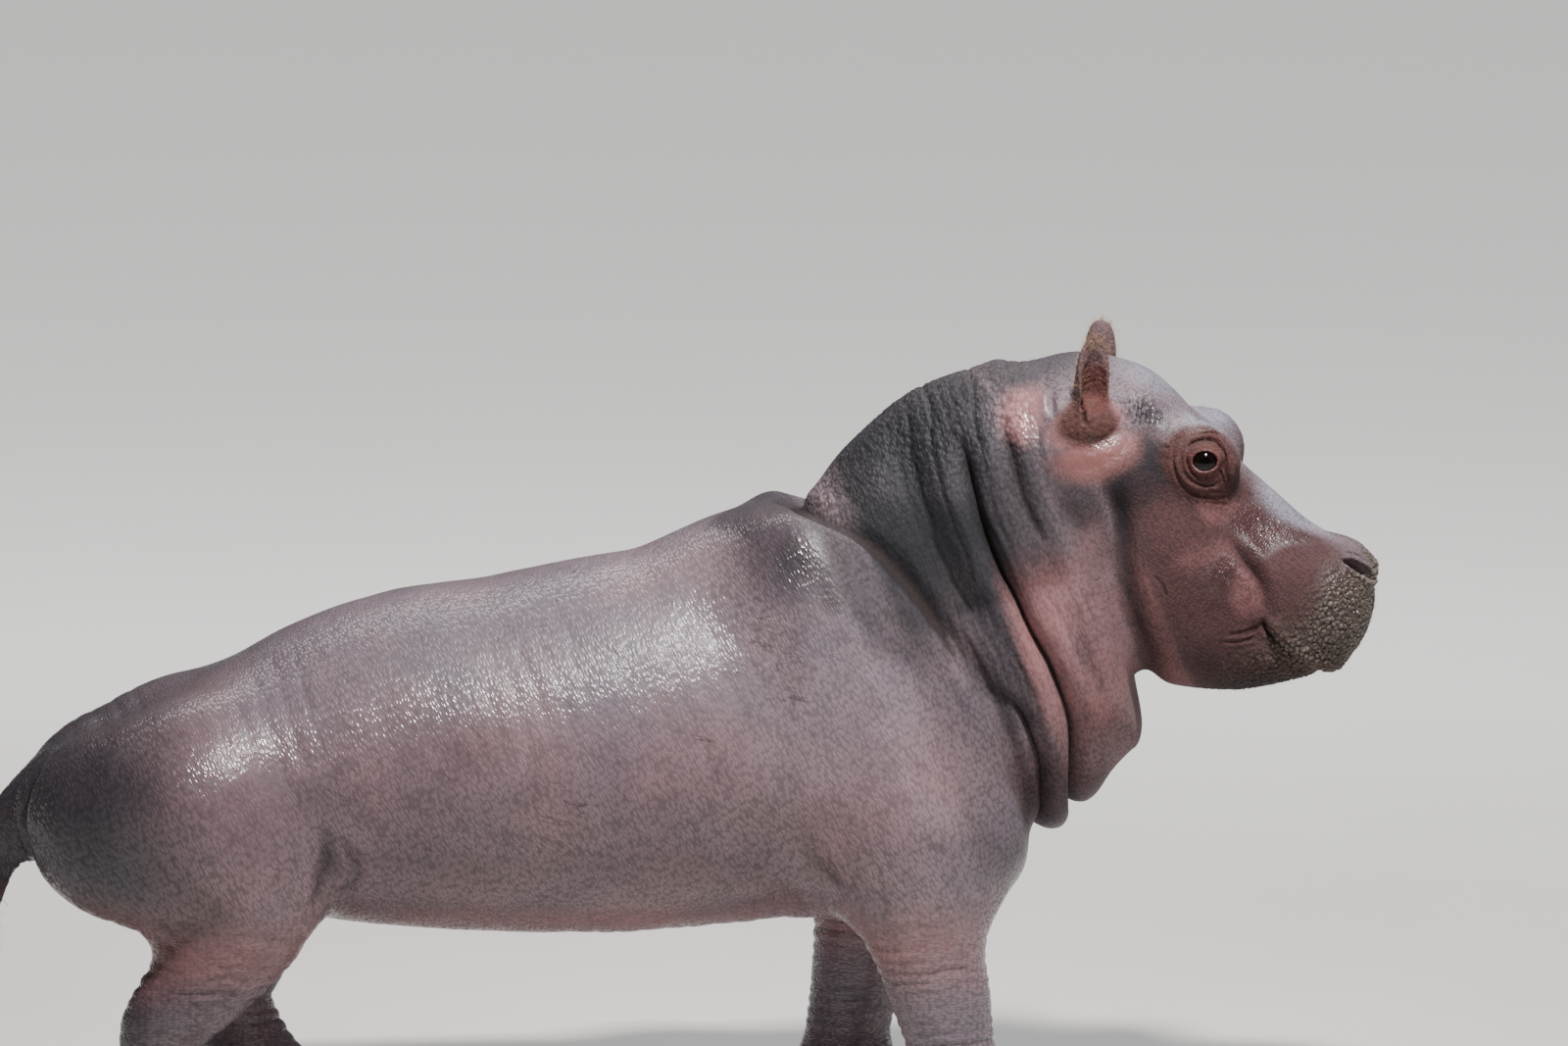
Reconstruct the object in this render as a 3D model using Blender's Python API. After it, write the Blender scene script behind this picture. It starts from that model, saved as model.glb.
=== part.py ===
"""A hippopotamus calf about a month old, life size, standing still.

Metres, +Z up, the calf faces +X and its left side is +Y.  The feet stand on Z = 0.

The flesh is a set of soft forms (balls, tubes and lofts) that melt into each other.  Blender's
voxel remesh joins the plain forms into one closed mesh, the mesh is then settled onto the smooth
union of the forms, creased, turned at the neck, thinned, and parted with narrow cuts.
"""

import math

import bmesh
import bpy
import numpy as np
from mathutils import Matrix, Vector

# ---------------------------------------------------------------- driving dimensions
GAP = 0.0004  # between neighbouring solids
NECK_PITCH = math.radians(20)  # the neck folds lie square to this line
HEAD_PITCH = math.radians(-32)  # the line from crown to nose
NECK_CUT = 0.372  # along the neck line: shoulders end, neck begins
HEAD_CUT = 0.572  # along the neck line: neck ends, head begins
NECK_TURN = math.radians(-9)  # the calf looks a little to its right
TURN_START, TURN_END = 0.30, 0.56  # along the neck line

VOXEL = 0.007
BODY_TRIANGLES = 4300
FINE_FROM = 0.56  # along the neck line: the head keeps more of its triangles
FINE_SHARE = 0.008

EYE_RADIUS = 0.0165
EYE_CENTRE = (0.506, 0.0725, 0.652)

EAR_CENTRE = (0.3975, 0.0755, 0.7270)
EAR_RADII = (0.0185, 0.0165, 0.0440)  # depth, width, length
EAR_WALL, EAR_LIP = 0.0042, 0.006
EAR_SLANT = 0.3  # how much further back the opening lies for each metre up the ear
EAR_PITCH, EAR_YAW = -15, 62  # the opening faces out, a little forward and down

FORELEG_FEET = {"left": 0.165, "right": 0.255}  # where each foot stands along X
HINDLEG_FEET = {"left": -0.395, "right": -0.485}
SIDE = {"left": 1, "right": -1}
FOOT_Y = 0.100
TOE_ANGLES = (-58, -20, 20, 58)  # degrees off the foot's forward line
NAIL_RADII = (0.0085, 0.0115, 0.0115)  # depth, width, height

# Blocks that part the legs from the trunk: back and front along X, then the height of the cut at the
# inner side, at the armpit or groin, and at the outer side.
LEG_BLOCKS = {
    "front": (0.090, 0.360, 0.212, 0.245, 0.360),
    "hind": (-0.640, -0.337, 0.238, 0.270, 0.400),
}
TAIL_BLOCK = ((-0.80, 0.05), (-0.642, 0.05), (-0.642, 0.40), (-0.80, 0.40))
# The lower jaw in side view, along the line of the mouth.
JAW_OUTLINE = (
    (0.462, 0.400),
    (0.603, 0.400),
    (0.603, 0.452),
    (0.573, 0.467),
    (0.561, 0.486),
    (0.462, 0.478),
)

COLOURS = {
    "trunk": ((0.20, 0.15, 0.15), 0.5),
    "neck": ((0.22, 0.15, 0.15), 0.5),
    "head": ((0.22, 0.15, 0.14), 0.5),
    "jaw": ((0.25, 0.15, 0.14), 0.5),
    "tail": ((0.18, 0.13, 0.13), 0.5),
    "leg": ((0.19, 0.14, 0.13), 0.5),
    "ear": ((0.30, 0.14, 0.11), 0.5),
    "eye": ((0.02, 0.012, 0.01), 0.1),
    "nail": ((0.06, 0.045, 0.04), 0.4),
}


# ---------------------------------------------------------------- soft forms
def axes(pitch=0.0, yaw=0.0):
    """Forward, side and up of a form whose nose is raised by pitch and swung left by yaw."""
    level = math.cos(pitch)
    forward = np.array([level * math.cos(yaw), level * math.sin(yaw), math.sin(pitch)])
    side = np.array([-math.sin(yaw), math.cos(yaw), 0.0])
    return np.array([forward, side, np.cross(forward, side)])


def ease(along, places, values):
    """Smooth curve through a few named stations (cubic, level at both ends)."""
    places, values = np.asarray(places, float), np.asarray(values, float)
    slopes = np.gradient(values, places)
    i = np.clip(np.searchsorted(places, along) - 1, 0, len(places) - 2)
    step = places[i + 1] - places[i]
    t = np.clip((along - places[i]) / step, 0, 1)
    return (
        (1 + 2 * t) * (1 - t) ** 2 * values[i]
        + t * (1 - t) ** 2 * step * slopes[i]
        + t * t * (3 - 2 * t) * values[i + 1]
        - t * t * (1 - t) * step * slopes[i + 1]
    )


class Ball:
    """An ellipsoid: centre, three radii (forward, side, up) and how softly it melts into the rest."""

    def __init__(self, centre, radii, pitch=0.0, yaw=0.0, blend=0.03, sides=(1,)):
        self.centre, self.radii = np.array(centre, float), np.array(radii, float)
        self.axes = axes(math.radians(pitch), math.radians(yaw))
        self.blend, self.sides = blend, sides

    def near(self, points):
        return np.linalg.norm(points - self.centre, axis=1) < self.radii.max() + self.blend + 0.02

    def distance(self, points):
        local = (points - self.centre) @ self.axes.T / self.radii
        share = np.linalg.norm(local, axis=1) + 1e-9
        return share * (share - 1) / (np.linalg.norm(local / self.radii, axis=1) + 1e-9)

    def add_to(self, bm, side):
        turn = Matrix(self.axes.T.tolist()).to_4x4()
        place = Matrix.Translation(self.centre) @ turn @ Matrix.Diagonal((*self.radii, 1))
        mirror = Matrix.Diagonal((1, side, 1, 1))
        bmesh.ops.create_icosphere(bm, subdivisions=3, radius=1, matrix=mirror @ place)


class Tube:
    """A limb through joints, each (x, y, z, radius), round in section."""

    def __init__(self, joints, blend=0.03, sides=(1,)):
        joints = np.array(joints, float)
        place = np.arange(len(joints))
        finer = np.linspace(0, place[-1], 4 * len(joints))
        self.joints = np.stack([ease(finer, place, column) for column in joints.T], axis=1)
        self.blend, self.sides = blend, sides

    def near(self, points):
        reach = self.joints[:, 3].max() + self.blend + 0.02
        low, high = self.joints[:, :3].min(axis=0) - reach, self.joints[:, :3].max(axis=0) + reach
        return ((points > low) & (points < high)).all(axis=1)

    def distance(self, points):
        found = np.full(len(points), 9.0)
        for start, end in zip(self.joints[:-1], self.joints[1:], strict=True):
            run = end[:3] - start[:3]
            t = np.clip((points - start[:3]) @ run / (run @ run), 0, 1)
            gap = np.linalg.norm(points - start[:3] - t[:, None] * run, axis=1)
            found = np.minimum(found, gap - start[3] - t * (end[3] - start[3]))
        return found

    def add_to(self, bm, side):
        for x, y, z, radius in self.joints:
            place = Matrix.Translation((x, y * side, z))
            bmesh.ops.create_icosphere(bm, subdivisions=2, radius=radius, matrix=place)


class Loft:
    """A long form along a pitched line through the origin, as in a side view.

    Each station is (place along the line, underside, topside, half width); pear widens the underside,
    and the two caps round off the ends.
    """

    def __init__(self, pitch, stations, caps, pear=0.0, blend=0.04):
        self.axes = axes(pitch)
        self.stations = np.array(stations, float)
        self.caps, self.pear, self.blend, self.sides = caps, pear, blend, (1,)

    def section(self, along):
        place, low, high, half = self.stations.T
        low, high, half = (ease(along, place, v) for v in (low, high, half))
        return (low + high) / 2, (high - low) / 2, half

    def near(self, points):
        along = points @ self.axes[0]
        first, last = self.stations[0, 0], self.stations[-1, 0]
        reach = self.blend + 0.03
        return (along > first - self.caps[0] - reach) & (along < last + self.caps[1] + reach)

    def distance(self, points):
        along, across, up = points @ self.axes[0], points[:, 1], points @ self.axes[2]
        first, last = self.stations[0, 0], self.stations[-1, 0]
        middle, tall, half = self.section(np.clip(along, first, last))
        rise = (up - middle) / tall
        half = half * (1 - self.pear * np.clip(rise, -1, 1))
        cap = np.where(along < first, self.caps[0], self.caps[1])
        past = np.where(along < first, along - first, np.clip(along - last, 0, None)) / cap
        share = np.sqrt((across / half) ** 2 + rise**2 + past**2) + 1e-9
        slope = np.sqrt((across / half**2) ** 2 + (rise / tall) ** 2 + (past / cap) ** 2) + 1e-9
        return share * (share - 1) / slope

    def add_to(self, bm, side):
        rings, around = 28, 24
        first = self.stations[0, 0] - 0.97 * self.caps[0]
        last = self.stations[-1, 0] + 0.97 * self.caps[1]
        previous = None
        for k in range(rings + 1):
            along = first + (last - first) * k / rings
            inner = np.clip(along, self.stations[0, 0], self.stations[-1, 0])
            middle, tall, half = (float(v) for v in self.section(np.array(inner)))
            cap = self.caps[0] if along < inner else self.caps[1]
            shrink = math.sqrt(max(0.0, 1 - ((along - inner) / cap) ** 2))
            ring = []
            for j in range(around):
                angle = 2 * math.pi * j / around
                width = half * (1 - self.pear * math.sin(angle)) * shrink
                up = middle + tall * shrink * math.sin(angle)
                across = np.array([0, width * math.cos(angle), 0])
                ring.append(bm.verts.new(along * self.axes[0] + up * self.axes[2] + across))
            if previous:
                for j in range(around):
                    bm.faces.new((previous[j], previous[j - 1], ring[j - 1], ring[j]))
            else:
                bm.faces.new(ring)
            previous = ring
        bm.faces.new(reversed(previous))


def smooth_min(a, b, reach):
    """The nearer of two distances, rounded where they are close."""
    h = np.clip(0.5 + 0.5 * (b - a) / reach, 0, 1)
    return b + (a - b) * h - reach * h * (1 - h)


BOTH = (1, -1)


def trunk_forms():
    """Barrel, withers, shoulder blades, chest, haunches and buttocks."""
    return [
        Loft(
            0.0,
            [  # along X: underside, back line, half width
                (-0.565, 0.262, 0.375, 0.105),
                (-0.475, 0.232, 0.433, 0.135),
                (-0.380, 0.208, 0.487, 0.156),
                (-0.285, 0.194, 0.519, 0.170),
                (-0.190, 0.187, 0.532, 0.177),
                (-0.095, 0.185, 0.550, 0.176),
                (0.000, 0.188, 0.563, 0.168),
                (0.090, 0.196, 0.567, 0.150),
            ],
            caps=(0.075, 0.16),
            pear=0.10,
        ),
        # withers
        Ball((0.065, 0.030, 0.517), (0.085, 0.060, 0.066), pitch=8, blend=0.05, sides=BOTH),
        # shoulder blade
        Ball((0.175, 0.078, 0.405), (0.092, 0.082, 0.205), pitch=28, blend=0.05, sides=BOTH),
        # upper arm
        Ball((0.215, 0.088, 0.300), (0.092, 0.075, 0.110), pitch=10, blend=0.05, sides=BOTH),
        # brisket
        Ball((0.220, 0.0, 0.285), (0.105, 0.110, 0.100), blend=0.06),
        # thigh
        Ball((-0.475, 0.080, 0.308), (0.115, 0.072, 0.118), pitch=-25, blend=0.06, sides=BOTH),
        # buttock
        Ball((-0.565, 0.055, 0.302), (0.066, 0.058, 0.082), blend=0.05, sides=BOTH),
    ]


def neck_forms():
    """The thick neck, whose folds stand square to the neck line."""
    return [
        Loft(
            NECK_PITCH,
            [  # along the neck line: throat, nape, half width
                (0.300, 0.170, 0.515, 0.110),
                (0.366, 0.150, 0.5605, 0.116),
                (0.4135, 0.147, 0.580, 0.118),
                (0.458, 0.152, 0.5915, 0.118),
                (0.499, 0.176, 0.594, 0.116),
                (0.532, 0.192, 0.592, 0.108),
            ],
            caps=(0.06, 0.035),
            pear=0.16,
            blend=0.035,
        ),
    ]


def head_forms():
    """Skull, bridge of the nose, broad muzzle, jaw, cheeks, brows, nostril mounds and ear bulbs."""
    return [
        # skull
        Ball((0.388, 0.0, 0.656), (0.104, 0.082, 0.092), pitch=-10, blend=0.035),
        Loft(
            HEAD_PITCH,
            [  # along the head line: underside, bridge, half width
                (0.000, 0.740, 0.8490, 0.070),
                (0.050, 0.735, 0.8440, 0.060),
                (0.118, 0.725, 0.8300, 0.050),
                (0.165, 0.715, 0.8200, 0.047),
                (0.212, 0.715, 0.8110, 0.052),
                (0.245, 0.720, 0.8080, 0.056),
            ],
            caps=(0.04, 0.035),
            pear=0.10,
            blend=0.025,
        ),
        # front of the muzzle
        Ball((0.601, 0.0, 0.510), (0.064, 0.060, 0.059), blend=0.03),
        # upper lip
        Ball((0.598, 0.046, 0.506), (0.062, 0.045, 0.060), pitch=-35, yaw=4, blend=0.03, sides=BOTH),
        # core of the face
        Ball((0.500, 0.0, 0.530), (0.105, 0.078, 0.085), pitch=-14, blend=0.04),
        # cheek
        Ball((0.458, 0.050, 0.535), (0.078, 0.050, 0.092), pitch=12, blend=0.04, sides=BOTH),
        # corner of the mouth
        Ball((0.535, 0.050, 0.520), (0.036, 0.028, 0.046), blend=0.025, sides=BOTH),
        # lower jaw
        Ball((0.524, 0.034, 0.474), (0.084, 0.048, 0.047), pitch=1, blend=0.025, sides=BOTH),
        # cheekbone
        Ball((0.405, 0.058, 0.640), (0.056, 0.032, 0.036), pitch=-14, blend=0.03, sides=BOTH),
        # brow
        Ball((0.500, 0.052, 0.652), (0.040, 0.034, 0.037), pitch=-20, blend=0.028, sides=BOTH),
        # nostril mound
        Ball((0.641, 0.032, 0.543), (0.026, 0.020, 0.019), pitch=-32, blend=0.016, sides=BOTH),
        # ear bulb
        Ball((0.391, 0.062, 0.686), (0.030, 0.022, 0.023), yaw=-10, blend=0.016, sides=BOTH),
    ]


def foreleg_forms(foot_x, side):
    lean = foot_x - 0.215
    y = FOOT_Y
    return [
        Tube(
            [
                (0.215, y, 0.290, 0.074),
                (0.208 + 0.3 * lean, y + 0.004, 0.215, 0.061),
                (0.212 + 0.6 * lean, y + 0.004, 0.140, 0.049),
                (0.214 + 0.9 * lean, y + 0.001, 0.078, 0.042),
                (0.216 + lean, y, 0.045, 0.043),
            ],
            blend=0.035,
            sides=(side,),
        ),
        *foot_forms(foot_x, y, side),
    ]


def hindleg_forms(foot_x, side):
    lean = foot_x + 0.44
    y = FOOT_Y
    return [
        Tube(
            [
                (-0.480, y - 0.010, 0.320, 0.090),
                (-0.425 + 0.2 * lean, y + 0.006, 0.238, 0.070),
                (-0.450 + 0.5 * lean, y + 0.003, 0.165, 0.052),
                (-0.478 + 0.8 * lean, y, 0.108, 0.042),
                (-0.462 + lean, y, 0.050, 0.041),
            ],
            blend=0.035,
            sides=(side,),
        ),
        *foot_forms(foot_x, y, side),
    ]


def foot_forms(x, y, side):
    """A broad sole and four toes spread like a fan."""
    forms = [Ball((x, y, 0.020), (0.050, 0.049, 0.036), blend=0.02, sides=(side,))]
    for angle in map(math.radians, TOE_ANGLES):
        spot = (x + 0.036 * math.cos(angle), y + 0.036 * math.sin(angle), 0.014)
        toe = Ball(spot, (0.026, 0.0165, 0.022), yaw=math.degrees(angle), blend=0.008, sides=(side,))
        forms.append(toe)
    return forms


def tail_forms():
    return [
        Tube(
            [
                (-0.600, 0, 0.318, 0.040),
                (-0.648, 0, 0.298, 0.031),
                (-0.677, 0, 0.255, 0.024),
                (-0.690, 0, 0.205, 0.018),
                (-0.692, 0, 0.165, 0.012),
            ],
            blend=0.03,
        )
    ]


def all_forms():
    forms = trunk_forms() + neck_forms() + head_forms() + tail_forms()
    for name, side in SIDE.items():
        forms += foreleg_forms(FORELEG_FEET[name], side) + hindleg_forms(HINDLEG_FEET[name], side)
    return forms


# ---------------------------------------------------------------- folds of the skin
def fold(points, place, depth, width, low, high, bow=0.0):
    """How far one fold of the neck draws the skin in.

    It stands square to the neck line at place, bows back above and below its lowest third, and
    fades out between low and high.
    """
    line = axes(NECK_PITCH)
    along, up = points @ line[0], points @ line[2]
    off = along - place + bow * (up - 0.25) ** 2
    fade = np.clip((up - low) / 0.06, 0, 1) * np.clip((high - up) / 0.10, 0, 1)
    return depth / (1 + (off / width) ** 2) * fade * fade * (3 - 2 * fade)


def folds(points):
    """The folds of the neck and throat, and where the shoulder overlaps the neck."""
    return (
        fold(points, 0.482, 0.015, 0.008, 0.09, 0.53, bow=0.5)
        + fold(points, 0.442, 0.010, 0.008, 0.07, 0.42, bow=0.3)
        + fold(points, 0.516, 0.008, 0.007, 0.40, 0.62)
        + fold(points, 0.412, 0.012, 0.012, 0.05, 0.56, bow=1.36)
    )


def depth_of(points, forms):
    """Distance from the smooth union of the forms, negative inside."""
    found = np.full(len(points), 1.0)
    for form in forms:
        for side in form.sides:
            mirrored = points * (1, side, 1)
            near = np.flatnonzero(form.near(mirrored))
            found[near] = smooth_min(found[near], form.distance(mirrored[near]), form.blend)
    return found


def slope_of(points, forms):
    """Distance and its slope at each point."""
    step = 0.0006
    here = depth_of(points, forms)
    ahead = np.stack([depth_of(points + step * axis, forms) for axis in np.eye(3)], axis=1)
    return here, (ahead - here[:, None]) / step


def settle(points, forms, rounds=4):
    """Moves points onto the smooth union along its slope."""
    for _ in range(rounds):
        here, slope = slope_of(points, forms)
        size = np.linalg.norm(slope, axis=1)[:, None]
        points = points - np.clip(here, -0.02, 0.02)[:, None] * slope / np.clip(size, 0.5, None) ** 2
    return points


def turn_neck(points):
    """Swings head and neck to the side about a line through the shoulders."""
    along = points @ axes(NECK_PITCH)[0]
    t = np.clip((along - TURN_START) / (TURN_END - TURN_START), 0, 1)
    angle = NECK_TURN * t * t * (3 - 2 * t)
    # Each slice turns about its own place on the neck line, so the throat keeps its length.
    pivot_x = 0.20
    x, y = points[:, 0] - pivot_x, points[:, 1]
    turned = points.copy()
    turned[:, 0] = pivot_x + x * np.cos(angle) - y * np.sin(angle)
    turned[:, 1] = x * np.sin(angle) + y * np.cos(angle)
    return turned


# ---------------------------------------------------------------- Blender helpers
def get_points(mesh):
    flat = np.empty(len(mesh.vertices) * 3, np.float32)
    mesh.vertices.foreach_get("co", flat)
    return flat.reshape(-1, 3).astype(float)


def set_points(mesh, points):
    mesh.vertices.foreach_set("co", np.asarray(points, np.float32).ravel())
    mesh.update()


def new_object(name, bm):
    mesh = bpy.data.meshes.new(name)
    bm.to_mesh(mesh)
    bm.free()
    obj = bpy.data.objects.new(name, mesh)
    bpy.context.scene.collection.objects.link(obj)
    return obj


def bake_modifiers(obj):
    """Replaces the mesh with what its modifiers make of it."""
    graph = bpy.context.evaluated_depsgraph_get()
    made = bpy.data.meshes.new_from_object(obj.evaluated_get(graph))
    obj.modifiers.clear()
    obj.data = made


def joined(name, forms, voxel):
    """The forms as one closed mesh, settled onto their smooth union and meshed afresh."""
    bm = bmesh.new()
    for form in forms:
        for side in form.sides:
            form.add_to(bm, side)
    body = new_object(name, bm)
    for rounds in (4, 2):
        remesh = body.modifiers.new("join", "REMESH")
        remesh.mode, remesh.voxel_size = "VOXEL", voxel
        smooth = body.modifiers.new("even", "SMOOTH")
        smooth.factor, smooth.iterations = 0.5, 3
        bake_modifiers(body)
        set_points(body.data, settle(get_points(body.data), forms, rounds))
    return body


def flesh():
    """The whole calf but its ears, eyes and nails, with the neck folded and the soles flat."""
    forms = all_forms()
    body = joined("trunk", forms, VOXEL)
    points = get_points(body.data)
    slope = slope_of(points, forms)[1]
    points -= folds(points)[:, None] * slope / np.linalg.norm(slope, axis=1)[:, None]
    points[:, 2] = np.clip(points[:, 2], 0, None)
    set_points(body.data, points)
    line = points @ axes(NECK_PITCH)[0]
    coarse = body.vertex_groups.new(name="coarse")
    coarse.add(np.flatnonzero(line < FINE_FROM).tolist(), 1.0, "REPLACE")
    coarse.add(np.flatnonzero(line >= FINE_FROM).tolist(), 0.5, "REPLACE")
    thin(body, BODY_TRIANGLES, coarse)
    points = get_points(body.data)
    points[points[:, 2] < 0.002, 2] = 0.0  # thinning leaves the soles a little uneven
    set_points(body.data, points)
    return body


def boolean(body, other, operation):
    cut = body.modifiers.new("cut", "BOOLEAN")
    cut.operation, cut.solver, cut.object = operation, "EXACT", other
    bake_modifiers(body)


def prism(outline, low, high, across, grow=0.0):
    """A straight-sided block: an outline in side view (across "Y") or front view (across "X")."""
    outline = [Vector(point) for point in outline]
    count = len(outline)
    wider = []
    for k, point in enumerate(outline):
        before = (point - outline[k - 1]).normalized()
        after = (outline[(k + 1) % count] - point).normalized()
        out_before, out_after = Vector((before.y, -before.x)), Vector((after.y, -after.x))
        wider.append(point + grow * (out_before + out_after) / (1 + out_before.dot(out_after)))
    bm = bmesh.new()
    rings = []
    for reach in (low - grow, high + grow):
        spots = [(p.x, reach, p.y) if across == "Y" else (reach, p.x, p.y) for p in wider]
        rings.append([bm.verts.new(spot) for spot in spots])
    for k in range(count):
        bm.faces.new((rings[0][k - 1], rings[0][k], rings[1][k], rings[1][k - 1]))
    bm.faces.new(rings[0])
    bm.faces.new(reversed(rings[1]))
    bmesh.ops.recalc_face_normals(bm, faces=bm.faces)
    return new_object("block", bm)


def take(body, name, outline, low, high, across="Y"):
    """Parts the piece inside a block from the body, with a narrow gap all round."""
    piece = body.copy()
    piece.data = body.data.copy()
    piece.name = name
    bpy.context.scene.collection.objects.link(piece)
    for target, grow, operation in ((piece, 0.0, "INTERSECT"), (body, GAP, "DIFFERENCE")):
        block = prism(outline, low, high, across, grow)
        boolean(target, block, operation)
        keep_largest(target)
        bpy.data.objects.remove(block)
    return piece


def keep_largest(obj):
    """Drops any crumb a cut has left beside the main body."""
    bm = bmesh.new()
    bm.from_mesh(obj.data)
    shells, seen = [], set()
    for start in bm.verts:
        if start in seen:
            continue
        seen.add(start)
        shell = [start]
        for vert in shell:
            for edge in vert.link_edges:
                other = edge.other_vert(vert)
                if other not in seen:
                    seen.add(other)
                    shell.append(other)
        shells.append(shell)
    shells.sort(key=len)
    for shell in shells[:-1]:
        bmesh.ops.delete(bm, geom=shell, context="VERTS")
    bm.to_mesh(obj.data)
    bm.free()


def thin(obj, triangles, coarse=None):
    """Decimates to about so many triangles, and keeps more of them outside the coarse group."""
    obj.data.calc_loop_triangles()
    decimate = obj.modifiers.new("thin", "DECIMATE")
    decimate.ratio = triangles / len(obj.data.loop_triangles)
    if coarse:
        decimate.vertex_group = coarse.name
        decimate.vertex_group_factor = FINE_SHARE
    bake_modifiers(obj)


def grown(obj, reach):
    """A copy whose faces stand a little further out, to cut a pocket with."""
    bm = bmesh.new()
    bm.from_mesh(obj.data)
    bm.normal_update()
    for vert in bm.verts:
        vert.co += vert.normal * reach * vert.calc_shell_factor()
    return new_object("pocket", bm)


def seat(obj, hosts):
    """Cuts a pocket for obj out of its hosts."""
    pocket = grown(obj, GAP)
    for host in hosts:
        boolean(host, pocket, "DIFFERENCE")
        keep_largest(host)
    bpy.data.objects.remove(pocket)


def past(line_pitch, place):
    """Outline, in side view, of everything in front of a plane square to a pitched line."""
    forward = Vector((math.cos(line_pitch), math.sin(line_pitch)))
    up = Vector((-forward.y, forward.x))
    near, far = forward * place, forward * 1.6
    return [near - up * 1.5, far - up * 1.5, far + up * 1.5, near + up * 1.5]


def ellipsoid(name, centre, radii, yaw=0.0, segments=12, rings=8):
    bm = bmesh.new()
    turn = Matrix.Rotation(yaw, 4, "Z")
    place = Matrix.Translation(centre) @ turn @ Matrix.Diagonal((*radii, 1))
    bmesh.ops.create_uvsphere(bm, u_segments=segments, v_segments=rings, radius=1, matrix=place)
    return new_object(name, bm)


def nails(leg, foot_x, y, side):
    """Four blunt nails, one on the tip of each toe, clear of the ground."""
    made = []
    for number, degrees in enumerate(TOE_ANGLES, 1):
        name = f"{leg.name.replace('leg_', 'nail_')}_{number}"
        angle = math.radians(degrees)
        spot = (foot_x + 0.057 * math.cos(angle), side * (y + 0.057 * math.sin(angle)), 0.0135)
        nail = ellipsoid(name, spot, NAIL_RADII, side * angle, 8, 5)
        seat(nail, [leg])
        made.append(nail)
    return made


def make_ear(name, side):
    """A cupped ear: an egg hollowed out, its front pared off along a slant, its rim softened."""
    turn = Matrix(axes(math.radians(EAR_PITCH), math.radians(EAR_YAW)).T.tolist()).to_4x4()
    place = Matrix.Translation(EAR_CENTRE) @ turn
    inner_radii = [radius - EAR_WALL for radius in EAR_RADII]
    ear = ellipsoid(name, (0, 0, 0), EAR_RADII, segments=28, rings=20)
    hollow = ellipsoid("hollow", (0, 0, 0), inner_radii, segments=28, rings=20)
    reach = 0.05
    foot, tip = EAR_LIP + EAR_SLANT * reach, EAR_LIP - EAR_SLANT * reach
    opening = [(foot, -reach), (0.1, -reach), (0.1, reach), (tip, reach)]
    slant = prism(opening, -reach, reach, "Y")
    for tool in (hollow, slant):
        boolean(ear, tool, "DIFFERENCE")
        bpy.data.objects.remove(tool)
    remesh = ear.modifiers.new("join", "REMESH")
    remesh.mode, remesh.voxel_size = "VOXEL", 0.0012
    smooth = ear.modifiers.new("even", "SMOOTH")
    smooth.factor, smooth.iterations = 0.5, 4
    bake_modifiers(ear)
    thin(ear, 270)
    ear.data.transform(Matrix.Diagonal((1, side, 1, 1)) @ place)
    if side < 0:
        ear.data.flip_normals()
    return ear


def centre_on_floor(pieces):
    """Shifts the calf so that the middle of its box stands over the origin."""
    corners = np.concatenate([get_points(obj.data) for obj in pieces])
    shift = (corners.min(axis=0) + corners.max(axis=0)) / 2
    shift[2] = corners[:, 2].min()
    for obj in pieces:
        set_points(obj.data, get_points(obj.data) - shift)


def paint(obj, name, colour, roughness):
    material = bpy.data.materials.get(name) or bpy.data.materials.new(name)
    material.use_nodes = True
    shader = material.node_tree.nodes["Principled BSDF"]
    shader.inputs["Base Color"].default_value = (*colour, 1)
    shader.inputs["Roughness"].default_value = roughness
    obj.data.materials.clear()
    obj.data.materials.append(material)


def main():
    for obj in list(bpy.data.objects):
        bpy.data.objects.remove(obj)

    trunk = flesh()
    legs = {}
    for side_name, side in SIDE.items():
        for place, (back, front, low, mid, high) in LEG_BLOCKS.items():
            corners = ((0.034, -0.05), (0.034, low), (0.09, mid), (0.32, high), (0.32, -0.05))
            outline = [(side * y, z) for y, z in corners][::-side]
            name = f"leg_{place}_{side_name}"
            legs[place, side_name] = take(trunk, name, outline, back, front, "X")
    tail = take(trunk, "tail", TAIL_BLOCK, -0.1, 0.1)
    neck = take(trunk, "neck", past(NECK_PITCH, NECK_CUT), -0.3, 0.3)
    head = take(neck, "head", past(NECK_PITCH, HEAD_CUT), -0.3, 0.3)
    jaw = take(head, "jaw", JAW_OUTLINE, -0.2, 0.2)

    pieces = [trunk, neck, head, jaw, tail, *legs.values()]
    for side_name, side in SIDE.items():
        ear = make_ear(f"ear_{side_name}", side)
        seat(ear, [head, neck])
        eye_spot = (EYE_CENTRE[0], side * EYE_CENTRE[1], EYE_CENTRE[2])
        eye = ellipsoid(f"eye_{side_name}", eye_spot, (EYE_RADIUS,) * 3)
        seat(eye, [head])
        pieces += [ear, eye]
        for place, feet in (("front", FORELEG_FEET), ("hind", HINDLEG_FEET)):
            pieces += nails(legs[place, side_name], feet[side_name], FOOT_Y, side)

    for obj in pieces:
        set_points(obj.data, turn_neck(get_points(obj.data)))
        kind = obj.name.split("_")[0]
        paint(obj, kind, *COLOURS[kind])
    centre_on_floor(pieces)


main()
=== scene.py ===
"""The looks of the hippopotamus calf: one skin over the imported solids, eyes, nails and bristles.

The skin is shaped in a straight pose, calf facing +X and left side +Y, from the same soft forms as
the solids.  It is creased, wrinkled and marked there, then turned at the neck and set in place.
Lengths are in metres, but for the tables that say millimetres.
"""

import itertools
import math

import bmesh
import bpy
import numpy as np
from mathutils import Matrix, Vector


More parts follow.
